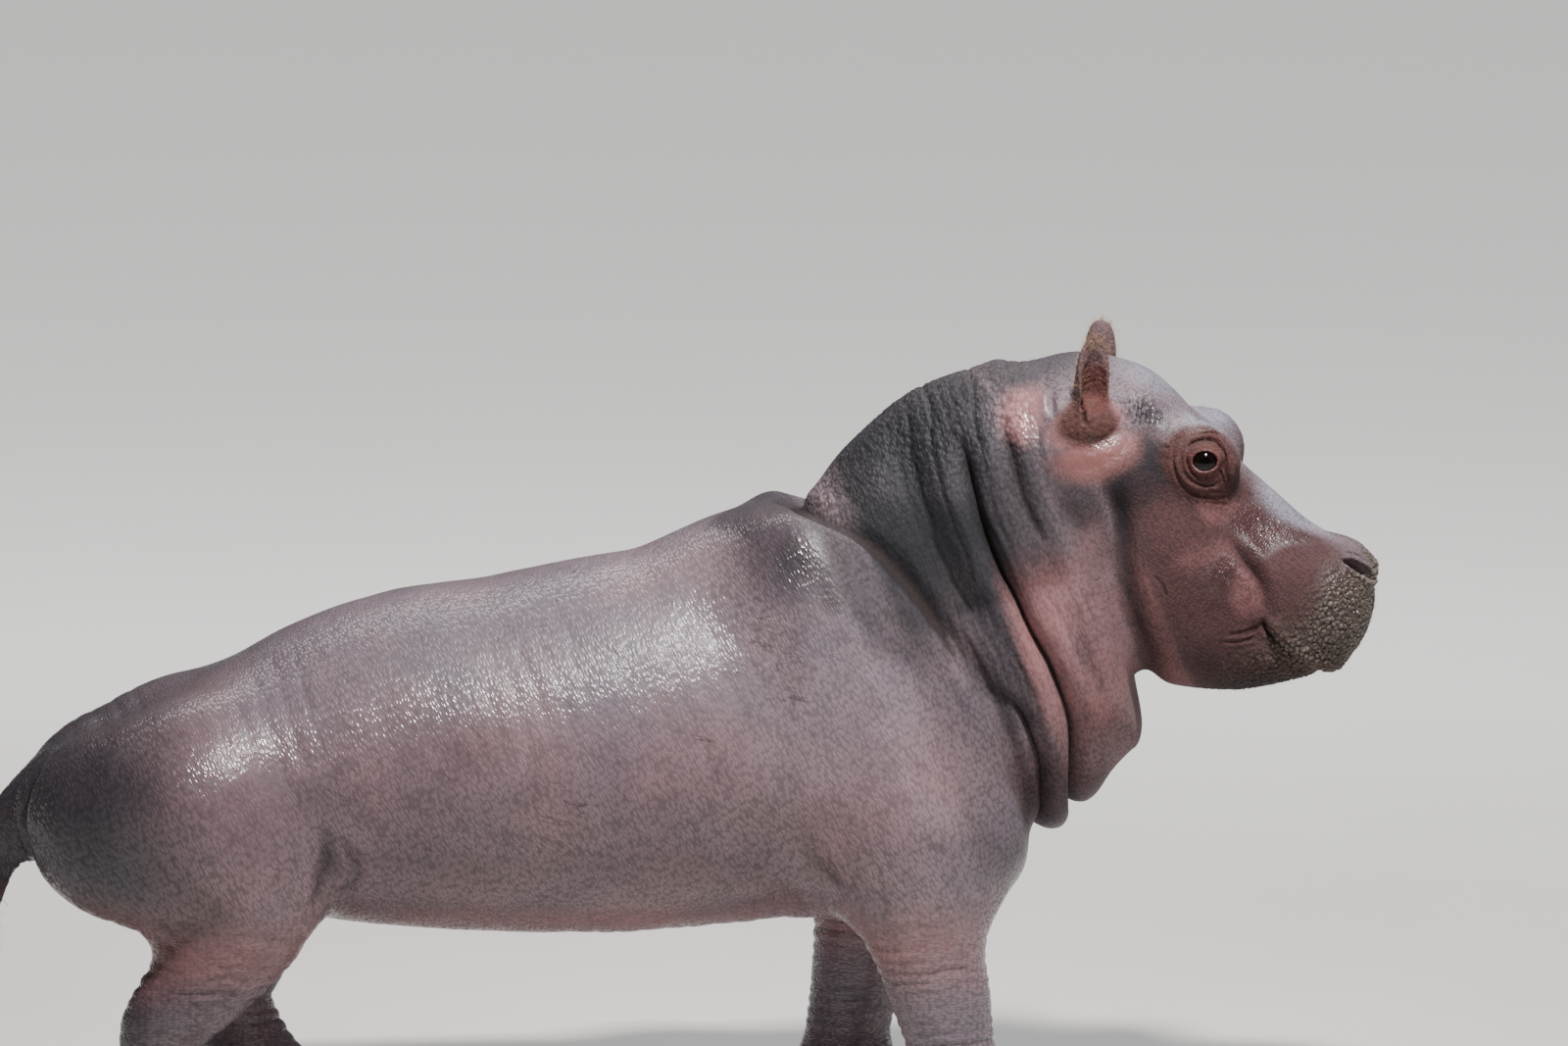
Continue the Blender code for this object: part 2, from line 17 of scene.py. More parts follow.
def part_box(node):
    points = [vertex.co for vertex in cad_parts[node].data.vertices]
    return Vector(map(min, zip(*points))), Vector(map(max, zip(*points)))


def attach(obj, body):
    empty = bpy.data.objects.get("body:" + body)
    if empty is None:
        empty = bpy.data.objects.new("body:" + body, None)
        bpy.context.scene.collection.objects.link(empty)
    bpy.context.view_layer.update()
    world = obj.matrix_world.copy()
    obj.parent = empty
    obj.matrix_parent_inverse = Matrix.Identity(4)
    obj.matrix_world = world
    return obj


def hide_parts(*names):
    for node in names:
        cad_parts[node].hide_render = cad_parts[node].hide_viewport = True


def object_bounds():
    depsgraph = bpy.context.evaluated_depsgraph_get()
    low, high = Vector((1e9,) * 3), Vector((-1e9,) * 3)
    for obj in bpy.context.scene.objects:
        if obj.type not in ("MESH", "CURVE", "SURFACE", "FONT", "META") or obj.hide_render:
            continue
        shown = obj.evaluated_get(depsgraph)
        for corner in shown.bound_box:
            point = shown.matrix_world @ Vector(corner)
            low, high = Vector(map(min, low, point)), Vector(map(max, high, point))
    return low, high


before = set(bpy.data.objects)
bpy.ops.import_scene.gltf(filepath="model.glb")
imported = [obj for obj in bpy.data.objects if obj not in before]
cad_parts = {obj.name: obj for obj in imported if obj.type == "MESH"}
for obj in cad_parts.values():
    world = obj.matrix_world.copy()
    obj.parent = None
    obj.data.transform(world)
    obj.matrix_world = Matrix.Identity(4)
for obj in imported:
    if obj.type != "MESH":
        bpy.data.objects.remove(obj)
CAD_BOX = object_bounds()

# ---------------------------------------------------------------- driving dimensions
NECK_PITCH = math.radians(20)  # the neck folds lie square to this line
HEAD_PITCH = math.radians(-32)  # the line from crown to nose
NECK_TURN = math.radians(-9)  # the calf looks a little to its right
TURN_START, TURN_END = 0.30, 0.56  # along the neck line
TURN_PIVOT = 0.20  # where the turn is centred along X

PLAIN_VOXEL = 0.007  # the first joining of the forms
SKIN_VOXEL = 0.0036
HEAD_FROM = 0.40  # along the neck line: folds and head are meshed finer from here on
MUZZLE_FROM = 0.175  # along the head line: finest from here on

EYE_RADIUS = 0.0165
EYE_CENTRE = (0.506, 0.0725, 0.652)
LID_OPENING = (0.0112, 0.0089)  # half width and half height
LID_HEIGHT = 0.0030  # of the lids over the eyeball
MOUTH_CORNER = (0.564, 0.070, 0.4915)

EAR_CENTRE = (0.3975, 0.0755, 0.7270)
EAR_RADII = (0.0185, 0.0165, 0.0440)  # depth, width, length
EAR_LIP, EAR_SLANT = 0.006, 0.30
EAR_HOLLOW_CENTRE = (0.0070, 0, 0.0015)  # in the ear's own frame
EAR_HOLLOW_RADII = (0.0135, 0.0132, 0.0395)
EAR_BLUNTNESS = 3.2  # 2 would be an egg; more squares off the tip
EAR_PITCH, EAR_YAW = -15, 62  # the opening faces out, a little forward and down

FORELEG_FEET = {"left": 0.165, "right": 0.255}  # where each foot stands along X
HINDLEG_FEET = {"left": -0.395, "right": -0.485}
FORELEG_X, HINDLEG_X = 0.215, -0.440  # where it would stand upright
SIDE = {"left": 1, "right": -1}
BOTH = (1, -1)
FOOT_Y = 0.100
TOE_ANGLES = (-58, -20, 20, 58)  # degrees off the foot's forward line

CAMERA_AZIMUTH, CAMERA_ELEVATION, CAMERA_LENS = -5, 8, 300
SENSOR_WIDTH = 36
FRAME_WIDTH = 1.52  # metres across the picture at the calf
AIM_OFFSET = (0.1157, 0.0, 0.1975)  # from the middle of the calf's box to the middle of the picture


# ---------------------------------------------------------------- soft forms
def axes(pitch=0.0, yaw=0.0):
    """Forward, side and up of a form whose nose is raised by pitch and swung left by yaw."""
    forward = np.array([math.cos(pitch) * math.cos(yaw), math.cos(pitch) * math.sin(yaw), math.sin(pitch)])
    side = np.array([-math.sin(yaw), math.cos(yaw), 0.0])
    return np.array([forward, side, np.cross(forward, side)])


def ease(along, places, values):
    """Smooth curve through a few named stations (cubic, level at both ends)."""
    places, values = np.asarray(places, float), np.asarray(values, float)
    slopes = np.gradient(values, places)
    i = np.clip(np.searchsorted(places, along) - 1, 0, len(places) - 2)
    step = places[i + 1] - places[i]
    t = np.clip((along - places[i]) / step, 0, 1)
    return (
        (1 + 2 * t) * (1 - t) ** 2 * values[i]
        + t * (1 - t) ** 2 * step * slopes[i]
        + t * t * (3 - 2 * t) * values[i + 1]
        - t * t * (1 - t) * step * slopes[i + 1]
    )


class Ball:
    """An ellipsoid: centre, three radii (forward, side, up) and how softly it melts into the rest."""

    def __init__(self, centre, radii, pitch=0.0, yaw=0.0, blend=0.03, sides=(1,)):
        self.centre, self.radii = np.array(centre, float), np.array(radii, float)
        self.axes = axes(math.radians(pitch), math.radians(yaw))
        self.blend, self.sides = blend, sides

    def near(self, points):
        return np.linalg.norm(points - self.centre, axis=1) < self.radii.max() + self.blend + 0.02

    def distance(self, points):
        local = (points - self.centre) @ self.axes.T / self.radii
        share = np.linalg.norm(local, axis=1) + 1e-9
        return share * (share - 1) / (np.linalg.norm(local / self.radii, axis=1) + 1e-9)

    def add_to(self, bm, side):
        turn = Matrix(self.axes.T.tolist()).to_4x4()
        place = Matrix.Translation(self.centre) @ turn @ Matrix.Diagonal((*self.radii, 1))
        mirror = Matrix.Diagonal((1, side, 1, 1))
        bmesh.ops.create_icosphere(bm, subdivisions=3, radius=1, matrix=mirror @ place)


class Tube:
    """A limb through joints, each (x, y, z, radius), round in section."""

    def __init__(self, joints, blend=0.03, sides=(1,)):
        joints = np.array(joints, float)
        place = np.arange(len(joints))
        finer = np.linspace(0, place[-1], 4 * len(joints))
        self.joints = np.stack([ease(finer, place, column) for column in joints.T], axis=1)
        self.blend, self.sides = blend, sides

    def near(self, points):
        reach = self.joints[:, 3].max() + self.blend + 0.02
        low, high = self.joints[:, :3].min(axis=0) - reach, self.joints[:, :3].max(axis=0) + reach
        return ((points > low) & (points < high)).all(axis=1)

    def distance(self, points):
        found = np.full(len(points), 9.0)
        for start, end in zip(self.joints[:-1], self.joints[1:], strict=True):
            run = end[:3] - start[:3]
            t = np.clip((points - start[:3]) @ run / (run @ run), 0, 1)
            gap = np.linalg.norm(points - start[:3] - t[:, None] * run, axis=1)
            found = np.minimum(found, gap - start[3] - t * (end[3] - start[3]))
        return found

    def add_to(self, bm, side):
        for x, y, z, radius in self.joints:
            place = Matrix.Translation((x, y * side, z))
            bmesh.ops.create_icosphere(bm, subdivisions=2, radius=radius, matrix=place)


class Loft:
    """A long form along a pitched line through the origin, as in a side view.

    Each station is (place along the line, underside, topside, half width); pear widens the underside,
    and the two caps round off the ends.
    """

    def __init__(self, pitch, stations, caps, pear=0.0, blend=0.04):
        self.axes = axes(pitch)
        self.stations = np.array(stations, float)
        self.caps, self.pear, self.blend, self.sides = caps, pear, blend, (1,)

    def section(self, along):
        place, low, high, half = self.stations.T
        low, high, half = (ease(along, place, v) for v in (low, high, half))
        return (low + high) / 2, (high - low) / 2, half

    def near(self, points):
        along = points @ self.axes[0]
        first, last = self.stations[0, 0], self.stations[-1, 0]
        reach = self.blend + 0.03
        return (along > first - self.caps[0] - reach) & (along < last + self.caps[1] + reach)

    def distance(self, points):
        along, across, up = points @ self.axes[0], points[:, 1], points @ self.axes[2]
        first, last = self.stations[0, 0], self.stations[-1, 0]
        middle, tall, half = self.section(np.clip(along, first, last))
        rise = (up - middle) / tall
        half = half * (1 - self.pear * np.clip(rise, -1, 1))
        cap = np.where(along < first, self.caps[0], self.caps[1])
        past = np.where(along < first, along - first, np.clip(along - last, 0, None)) / cap
        share = np.sqrt((across / half) ** 2 + rise**2 + past**2) + 1e-9
        slope = np.sqrt((across / half**2) ** 2 + (rise / tall) ** 2 + (past / cap) ** 2) + 1e-9
        return share * (share - 1) / slope

    def add_to(self, bm, side):
        rings, around = 28, 24
        first, last = self.stations[0, 0] - 0.97 * self.caps[0], self.stations[-1, 0] + 0.97 * self.caps[1]
        previous = None
        for k in range(rings + 1):
            along = first + (last - first) * k / rings
            inner = np.clip(along, self.stations[0, 0], self.stations[-1, 0])
            middle, tall, half = (float(v) for v in self.section(np.array(inner)))
            cap = self.caps[0] if along < inner else self.caps[1]
            shrink = math.sqrt(max(0.0, 1 - ((along - inner) / cap) ** 2))
            ring = []
            for j in range(around):
                angle = 2 * math.pi * j / around
                width = half * (1 - self.pear * math.sin(angle)) * shrink
                up = middle + tall * shrink * math.sin(angle)
                spot = along * self.axes[0] + up * self.axes[2] + np.array([0, width * math.cos(angle), 0])
                ring.append(bm.verts.new(spot))
            if previous:
                for j in range(around):
                    bm.faces.new((previous[j], previous[j - 1], ring[j - 1], ring[j]))
            else:
                bm.faces.new(ring)
            previous = ring
        bm.faces.new(reversed(previous))


def blunt_egg(local, radii):
    """Distance from an egg whose upper end is squared off; roughly in metres."""
    girth = np.hypot(local[:, 0] / radii[0], local[:, 1] / radii[1])
    rise = local[:, 2] / radii[2]
    power = np.where(rise > 0, EAR_BLUNTNESS, 2.0)
    return ((girth**power + np.abs(rise) ** power) ** (1 / power) - 1) * radii[1]


class Cup(Ball):
    """An ear: a blunt egg, hollowed out, its front pared off along a slanting plane."""

    def distance(self, points):
        local = (points - self.centre) @ self.axes.T
        pared = (local[:, 0] + EAR_SLANT * local[:, 2] - EAR_LIP) / math.hypot(1, EAR_SLANT)
        hollow = blunt_egg(local - EAR_HOLLOW_CENTRE, EAR_HOLLOW_RADII)
        shell = -smooth_min(-blunt_egg(local, self.radii), hollow, 0.002)
        return -smooth_min(-shell, -pared, 0.002)


def smooth_min(a, b, reach):
    """The nearer of two distances, rounded where they are close."""
    h = np.clip(0.5 + 0.5 * (b - a) / reach, 0, 1)
    return b + (a - b) * h - reach * h * (1 - h)


def pair(centre, radii, pitch=0.0, blend=0.03, yaw=0.0):
    """The same ellipsoid on both sides."""
    return Ball(centre, radii, pitch, yaw, blend, BOTH)


# Along X: place, underside, back line, half width.
TRUNK_LINE = (
    (-0.565, 0.262, 0.375, 0.105), (-0.475, 0.232, 0.433, 0.135), (-0.380, 0.208, 0.487, 0.156),
    (-0.285, 0.194, 0.519, 0.170), (-0.190, 0.187, 0.532, 0.177), (-0.095, 0.185, 0.550, 0.176),
    (0.000, 0.188, 0.563, 0.168), (0.090, 0.196, 0.567, 0.150),
)
# Along the neck line: place, throat, nape, half width.
NECK_LINE = (
    (0.300, 0.170, 0.515, 0.110), (0.366, 0.150, 0.5605, 0.116), (0.4135, 0.147, 0.580, 0.118),
    (0.458, 0.152, 0.5915, 0.118), (0.499, 0.176, 0.594, 0.116), (0.532, 0.192, 0.592, 0.108),
)
# Along the head line: place, underside, bridge, half width.
HEAD_LINE = (
    (0.000, 0.740, 0.8490, 0.070), (0.050, 0.735, 0.8440, 0.060), (0.118, 0.725, 0.8300, 0.050),
    (0.165, 0.715, 0.8200, 0.047), (0.212, 0.715, 0.8110, 0.052), (0.245, 0.720, 0.8080, 0.056),
)
# Joints of the upright legs and the tail: place, radius, and for legs the share of the foot's lean.
FORELEG = (
    (0.215, 0, 0.290, 0.074, 0), (0.208, 0.004, 0.215, 0.061, 0.3), (0.212, 0.004, 0.140, 0.049, 0.6),
    (0.214, 0.001, 0.078, 0.042, 0.9), (0.216, 0, 0.045, 0.043, 1),
)
HINDLEG = (
    (-0.480, -0.010, 0.320, 0.090, 0), (-0.425, 0.006, 0.238, 0.070, 0.2), (-0.450, 0.003, 0.165, 0.052, 0.5),
    (-0.478, 0, 0.108, 0.042, 0.8), (-0.462, 0, 0.050, 0.041, 1),
)
TAIL = (
    (-0.600, 0, 0.318, 0.040), (-0.648, 0, 0.298, 0.031), (-0.677, 0, 0.255, 0.024), (-0.690, 0, 0.205, 0.018),
    (-0.692, 0, 0.165, 0.012),
)


def leg_forms(joints, upright_x, foot_x, side):
    """A leg leaning to its foot, the broad sole, and four toes spread like a fan."""
    lean = foot_x - upright_x
    run = [(x + share * lean, FOOT_Y + out, z, radius) for x, out, z, radius, share in joints]
    forms = [
        Tube(run, blend=0.035, sides=(side,)),
        Ball((foot_x, FOOT_Y, 0.020), (0.050, 0.049, 0.036), blend=0.02, sides=(side,)),
    ]
    for angle in map(math.radians, TOE_ANGLES):
        toe = (foot_x + 0.036 * math.cos(angle), FOOT_Y + 0.036 * math.sin(angle), 0.014)
        forms.append(Ball(toe, (0.026, 0.0165, 0.022), yaw=math.degrees(angle), blend=0.008, sides=(side,)))
    return forms


def all_forms():
    """Trunk, neck, head, tail and legs."""
    forms = [
        Loft(0.0, TRUNK_LINE, (0.075, 0.16), pear=0.10),
        pair((0.065, 0.030, 0.517), (0.085, 0.060, 0.066), 8, 0.05),  # withers
        pair((0.175, 0.078, 0.405), (0.092, 0.082, 0.205), 28, 0.05),  # shoulder blade
        pair((0.215, 0.088, 0.300), (0.092, 0.075, 0.110), 10, 0.05),  # upper arm
        Ball((0.220, 0.0, 0.285), (0.105, 0.110, 0.100), blend=0.06),  # brisket
        pair((-0.475, 0.080, 0.308), (0.115, 0.072, 0.118), -25, 0.06),  # thigh
        pair((-0.565, 0.055, 0.302), (0.066, 0.058, 0.082), 0, 0.05),  # buttock
        Loft(NECK_PITCH, NECK_LINE, (0.06, 0.035), pear=0.16, blend=0.035),
        Ball((0.388, 0.0, 0.656), (0.104, 0.082, 0.092), pitch=-10, blend=0.035),  # skull
        Loft(HEAD_PITCH, HEAD_LINE, (0.04, 0.035), pear=0.10, blend=0.025),
        Ball((0.601, 0.0, 0.510), (0.064, 0.060, 0.059), blend=0.03),  # front of the muzzle
        pair((0.598, 0.046, 0.506), (0.062, 0.045, 0.060), -35, 0.03, yaw=4),  # upper lip
        Ball((0.500, 0.0, 0.530), (0.105, 0.078, 0.085), pitch=-14, blend=0.04),  # core of the face
        pair((0.458, 0.050, 0.535), (0.078, 0.050, 0.092), 12, 0.04),  # cheek
        pair((0.535, 0.050, 0.520), (0.036, 0.028, 0.046), 0, 0.025),  # corner of the mouth
        pair((0.524, 0.034, 0.474), (0.084, 0.048, 0.047), 1, 0.025),  # lower jaw
        pair((0.405, 0.058, 0.640), (0.056, 0.032, 0.036), -14, 0.03),  # cheekbone
        pair((0.500, 0.052, 0.652), (0.040, 0.034, 0.037), -20, 0.028),  # brow
        pair((0.641, 0.032, 0.543), (0.026, 0.020, 0.019), -32, 0.016),  # nostril mound
        pair((0.391, 0.062, 0.686), (0.030, 0.022, 0.023), 0, 0.016, yaw=-10),  # ear bulb
        Tube(TAIL, blend=0.03),
    ]
    for name, side in SIDE.items():
        forms += leg_forms(FORELEG, FORELEG_X, FORELEG_FEET[name], side)
        forms += leg_forms(HINDLEG, HINDLEG_X, HINDLEG_FEET[name], side)
    return forms


def depth_of(points, forms):
    """Distance from the smooth union of the forms, negative inside."""
    found = np.full(len(points), 1.0)
    for form in forms:
        for side in form.sides:
            flipped = points * (1, side, 1)
            near = np.flatnonzero(form.near(flipped))
            found[near] = smooth_min(found[near], form.distance(flipped[near]), form.blend)
    return found


def slope_of(points, forms):
    """Distance and its slope at each point."""
    step = 0.0006
    here = depth_of(points, forms)
    return here, np.stack([(depth_of(points + step * axis, forms) - here) / step for axis in np.eye(3)], axis=1)


def settle(points, forms, rounds=4):
    """Moves points onto the smooth union along its slope."""
    for _ in range(rounds):
        here, slope = slope_of(points, forms)
        size = np.linalg.norm(slope, axis=1)[:, None]
        points = points - np.clip(here, -0.02, 0.02)[:, None] * slope / np.clip(size, 0.5, None) ** 2
    return points


def turn_neck(points):
    """Swings head and neck to the side, each slice about its own place, so the throat keeps its length."""
    along = points @ axes(NECK_PITCH)[0]
    t = np.clip((along - TURN_START) / (TURN_END - TURN_START), 0, 1)
    angle = NECK_TURN * t * t * (3 - 2 * t)
    x, y = points[:, 0] - TURN_PIVOT, points[:, 1]
    turned = points.copy()
    turned[:, 0] = TURN_PIVOT + x * np.cos(angle) - y * np.sin(angle)
    turned[:, 1] = x * np.sin(angle) + y * np.cos(angle)
    return turned


def get_points(mesh):
    flat = np.empty(len(mesh.vertices) * 3, np.float32)
    mesh.vertices.foreach_get("co", flat)
    return flat.reshape(-1, 3).astype(float)


def set_points(mesh, points):
    mesh.vertices.foreach_set("co", np.asarray(points, np.float32).ravel())
    mesh.update()


def new_object(name, made):
    """A new object from a bmesh or a mesh."""
    if isinstance(made, bmesh.types.BMesh):
        bm, made = made, bpy.data.meshes.new(name)
        bm.to_mesh(made)
        bm.free()
    obj = bpy.data.objects.new(name, made)
    bpy.context.scene.collection.objects.link(obj)
    return obj


def bake_modifiers(obj):
    """Replaces the mesh with what its modifiers make of it."""
    graph = bpy.context.evaluated_depsgraph_get()
    made = bpy.data.meshes.new_from_object(obj.evaluated_get(graph))
    obj.modifiers.clear()
    obj.data = made


def remesh(obj, voxel):
    """Meshes the object afresh in even squares and smooths it a little."""
    join = obj.modifiers.new("join", "REMESH")
    join.mode, join.voxel_size = "VOXEL", voxel
    even = obj.modifiers.new("even", "SMOOTH")
    even.factor, even.iterations = 0.5, 3
    bake_modifiers(obj)


def joined(name, forms, voxel):
    """The forms as one closed mesh, settled onto their smooth union and meshed afresh."""
    bm = bmesh.new()
    for form in forms:
        for side in form.sides:
            form.add_to(bm, side)
    body = new_object(name, bm)
    for rounds in (4, 2):
        remesh(body, voxel)
        set_points(body.data, settle(get_points(body.data), forms, rounds))
    return body


# ---------------------------------------------------------------- noise
def scatter(cells, seed):
    """A fixed random number in 0..1 for each whole-numbered cell."""
    x, y, z = cells[:, 0], cells[:, 1], cells[:, 2]
    mixed = (x * 73856093) ^ (y * 19349663) ^ (z * 83492791) ^ ((seed + 1) * 374761393)
    mixed = ((mixed ^ (mixed >> 13)) & 0x7FFFFFFF) * 1274126177 & 0x7FFFFFFF
    return ((mixed ^ (mixed >> 15)) & 0xFFFF) / 65535


def noise(points, size, seed=0):
    """Smooth noise from -1 to 1 whose lumps are about size across."""
    cells = np.floor(points / size).astype(np.int64)
    t = points / size - cells
    t = t * t * (3 - 2 * t)
    total = np.zeros(len(points))
    for corner in itertools.product((0, 1), repeat=3):
        total += np.prod(np.where(corner, t, 1 - t), axis=1) * scatter(cells + corner, seed)
    return 2 * total - 1


def grains(points, size, seed=0):
    """Distances, in sizes, to the nearest and the second nearest of points scattered one to a cell."""
    spots = points / size
    cells = np.floor(spots).astype(np.int64)
    nearest, second = np.full(len(points), 9.0), np.full(len(points), 9.0)
    for corner in itertools.product((-1, 0, 1), repeat=3):
        cell = cells + corner
        centre = cell + np.stack([scatter(cell, seed + k) for k in range(3)], axis=1)
        gap = np.linalg.norm(spots - centre, axis=1)
        second = np.minimum(second, np.maximum(nearest, gap))
        nearest = np.minimum(nearest, gap)
    return nearest, second


# ---------------------------------------------------------------- the plain skin
def egg(radii, centre=(0, 0, 0)):
    """An egg with its upper end squared off."""
    bm = bmesh.new()
    bmesh.ops.create_uvsphere(bm, u_segments=40, v_segments=28, radius=1)
    for vert in bm.verts:
        if vert.co.z > 0:
            girth = math.hypot(vert.co.x, vert.co.y)
            vert.co /= (girth**EAR_BLUNTNESS + vert.co.z**EAR_BLUNTNESS) ** (1 / EAR_BLUNTNESS)
    bm.transform(Matrix.Translation(centre) @ Matrix.Diagonal((*radii, 1)))
    return new_object("egg", bm)


def cut_away(body, tool):
    cut = body.modifiers.new("cut", "BOOLEAN")
    cut.operation, cut.solver, cut.object = "DIFFERENCE", "EXACT", tool
    bake_modifiers(body)
    bpy.data.objects.remove(tool)


def ear_shell(side):
    """A cupped ear in its place: an egg hollowed out, its front pared off along a slant."""
    turn = Matrix(axes(math.radians(EAR_PITCH), math.radians(EAR_YAW)).T.tolist()).to_4x4()
    ear = egg(EAR_RADII)
    # The hollow starts smaller, so that the walls are thick enough to mesh, and settles to its size later.
    cut_away(ear, egg([radius - 0.0018 for radius in EAR_HOLLOW_RADII], EAR_HOLLOW_CENTRE))
    bm = bmesh.new()
    slant = Matrix.Rotation(-math.atan(EAR_SLANT), 4, "Y")
    bmesh.ops.create_cube(bm, size=0.2, matrix=slant @ Matrix.Translation((0.1, 0, 0)))
    bm.transform(Matrix.Translation((EAR_LIP, 0, 0)))
    cut_away(ear, new_object("slant", bm))
    ear.data.transform(Matrix.Diagonal((1, side, 1, 1)) @ Matrix.Translation(EAR_CENTRE) @ turn)
    if side < 0:
        ear.data.flip_normals()
    return ear


def refine(obj, chosen):
    """Halves every edge that runs between two chosen points, and splits the faces there."""
    bm = bmesh.new()
    bm.from_mesh(obj.data)
    flags = chosen.tolist()
    edges = [edge for edge in bm.edges if flags[edge.verts[0].index] and flags[edge.verts[1].index]]
    bmesh.ops.subdivide_edges(bm, edges=edges, cuts=1, use_grid_fill=True)
    bm.to_mesh(obj.data)
    bm.free()


def within(points, centre, reach):
    """Which points lie within reach of a spot, on either side of the body."""
    return np.linalg.norm(on_left(points) - centre, axis=1) < reach


def plain_skin():
    """The whole calf as one smooth closed mesh, finer at the head and finest at eyes, ears and muzzle."""
    forms = all_forms()
    body = joined("skin", forms, PLAIN_VOXEL)
    bm = bmesh.new()
    for part in (body, *map(ear_shell, BOTH)):
        bm.from_mesh(part.data)
        bpy.data.objects.remove(part)
    body = new_object("skin", bm)
    remesh(body, SKIN_VOXEL)
    forms.append(Cup(EAR_CENTRE, EAR_RADII, EAR_PITCH, EAR_YAW, blend=0.009, sides=BOTH))

    def settled(rounds):
        set_points(body.data, settle(get_points(body.data), forms, rounds))
        return get_points(body.data)

    refine(body, settled(3) @ axes(NECK_PITCH)[0] > HEAD_FROM)
    points = settled(1)
    fine = within(points, EYE_CENTRE, 0.042) | within(points, EAR_CENTRE, 0.062)
    fine |= (points @ axes(HEAD_PITCH)[0] > MUZZLE_FROM) | within(points, MOUTH_CORNER, 0.03)
    refine(body, fine)
    settled(1)
    return body


# ---------------------------------------------------------------- shaping tools
MM = 0.001


def steps(value, low, high):
    """0 below low, 1 above high, and smooth between."""
    t = np.clip((value - low) / (high - low), 0, 1)
    return t * t * (3 - 2 * t)


def band(value, low, high, soft):
    """1 between low and high, fading to 0 over soft outside them."""
    return steps(value, low - soft, low) * (1 - steps(value, high, high + soft))


def bell(value, width):
    """1 at zero, falling away on both sides."""
    return np.exp(-((value / width) ** 2))


def ridges(value, gap, power):
    """A row of ridges, gap apart; a higher power makes them narrower."""
    return (0.5 + 0.5 * np.cos(2 * math.pi * value / gap)) ** power


def on_left(points):
    """Every point as it lies on the left side of the body."""
    return points * (1, 0, 1) + np.abs(points) * (0, 1, 0)


def spot(points, centre, radii, soft=0.5):
    """1 in the heart of an egg-shaped region, 0 outside it, on both sides of the body; millimetres."""
    reach = np.linalg.norm((on_left(points) / MM - centre) / radii, axis=1)
    return 1 - steps(reach, 1 - soft, 1)


def strongest(points, spots):
    """The strongest of several spots, each with its share, centre, radii and softness."""
    return np.max([share * spot(points, *where) for share, *where in spots], axis=0)


class Skin:
    """The skin's points, their normals and neighbours, for shaping in plain arrays."""

    def __init__(self, obj):
        self.obj = obj
        edges = np.empty(len(obj.data.edges) * 2, np.int32)
        obj.data.edges.foreach_get("vertices", edges)
        self.ends = edges.reshape(-1, 2)
        self.points = get_points(obj.data)
        self.count = len(self.points)
        self.degree = np.bincount(self.ends.ravel(), minlength=self.count)[:, None]
        self.find_normals()

    def find_normals(self):
        set_points(self.obj.data, self.points)
        flat = np.empty(self.count * 3, np.float32)
        self.obj.data.vertex_normals.foreach_get("vector", flat)
        self.normals = flat.reshape(-1, 3).astype(float)

    def push(self, height):
        """Raises the skin by a height in metres, then finds the normals afresh."""
        self.points += self.normals * height[:, None]
        self.find_normals()

    def push_at(self, near, height):
        """Raises some of the points."""
        everywhere = np.zeros(self.count)
        everywhere[near] = height
        self.push(everywhere)

    def mean(self, values):
        """The mean over each point's neighbours."""
        a, b = self.ends.T
        sums = [np.bincount(a, v[b], self.count) + np.bincount(b, v[a], self.count) for v in values.T]
        return np.stack(sums, axis=1) / self.degree

    def relax(self, share):
        """Evens the points out by a share."""
        self.points += share * (self.mean(self.points) - self.points)
        self.find_normals()

    def hollows(self, rounds):
        """How deep each point lies below its surroundings, in metres."""
        smooth = self.points
        for _ in range(rounds):
            smooth = smooth + 0.8 * (self.mean(smooth) - smooth)
        return np.einsum("ij,ij->i", smooth - self.points, self.normals)


def curve(path, pieces=6):
    """A smooth run of points through a path's own points."""
    path = np.array(path, float)
    place = np.arange(len(path))
    finer = np.linspace(0, len(path) - 1, pieces * (len(path) - 1) + 1)
    return np.stack([ease(finer, place, column) for column in path.T], axis=1)


def trace(skin, path, reach):
    """The points near a path in millimetres: which, how far off to its left, and how far along (0 to 1)."""
    spots = on_left(skin.points)
    normals = skin.normals * np.where(skin.points[:, 1] < 0, -1, 1)[:, None] ** [0, 1, 0]
    line = MM * curve(path)
    low, high = line.min(axis=0) - reach, line.max(axis=0) + reach
    near = np.flatnonzero(((spots > low) & (spots < high)).all(axis=1))
    spots, normals = spots[near], normals[near]
    best = np.full(len(near), 9.0)
    off, along = np.zeros(len(near)), np.zeros(len(near))
    for k, (start, end) in enumerate(zip(line[:-1], line[1:], strict=True)):
        run = end - start
        t = np.clip((spots - start) @ run / (run @ run), 0, 1)
        gap = spots - start - t[:, None] * run
        size = np.linalg.norm(gap, axis=1)
        closer = size < best
        best[closer] = size[closer]
        side = np.einsum("ij,ij->i", gap, np.cross(normals, run / np.linalg.norm(run)))
        beyond = np.abs(gap @ run) / np.linalg.norm(run)
        off[closer] = (np.sign(side) * np.hypot(side, beyond))[closer]
        along[closer] = ((k + t) / (len(line) - 1))[closer]
    kept = best < reach
    return near[kept], off[kept], along[kept]


def groove(skin, path, depth, width, lip=0.0, taper=0.2, sharp=1.0):
    """The height of a crease along a path, with a soft roll on each side; all in millimetres."""
    height = np.zeros(skin.count)
    width *= MM
    near, off, along = trace(skin, path, 7 * width + 0.004)
    fade = steps(along, 0, taper) * (1 - steps(along, 1 - taper, 1))
    valley = np.exp(-np.abs(off / width) ** (2 * sharp))
    height[near] = MM * fade * (lip * bell(np.abs(off) - 2.2 * width, 1.3 * width) - depth * valley)
    return height


def crease(skin, *grooves):
    """Presses in several grooves at once."""
    skin.push(sum(groove(skin, *each) for each in grooves))


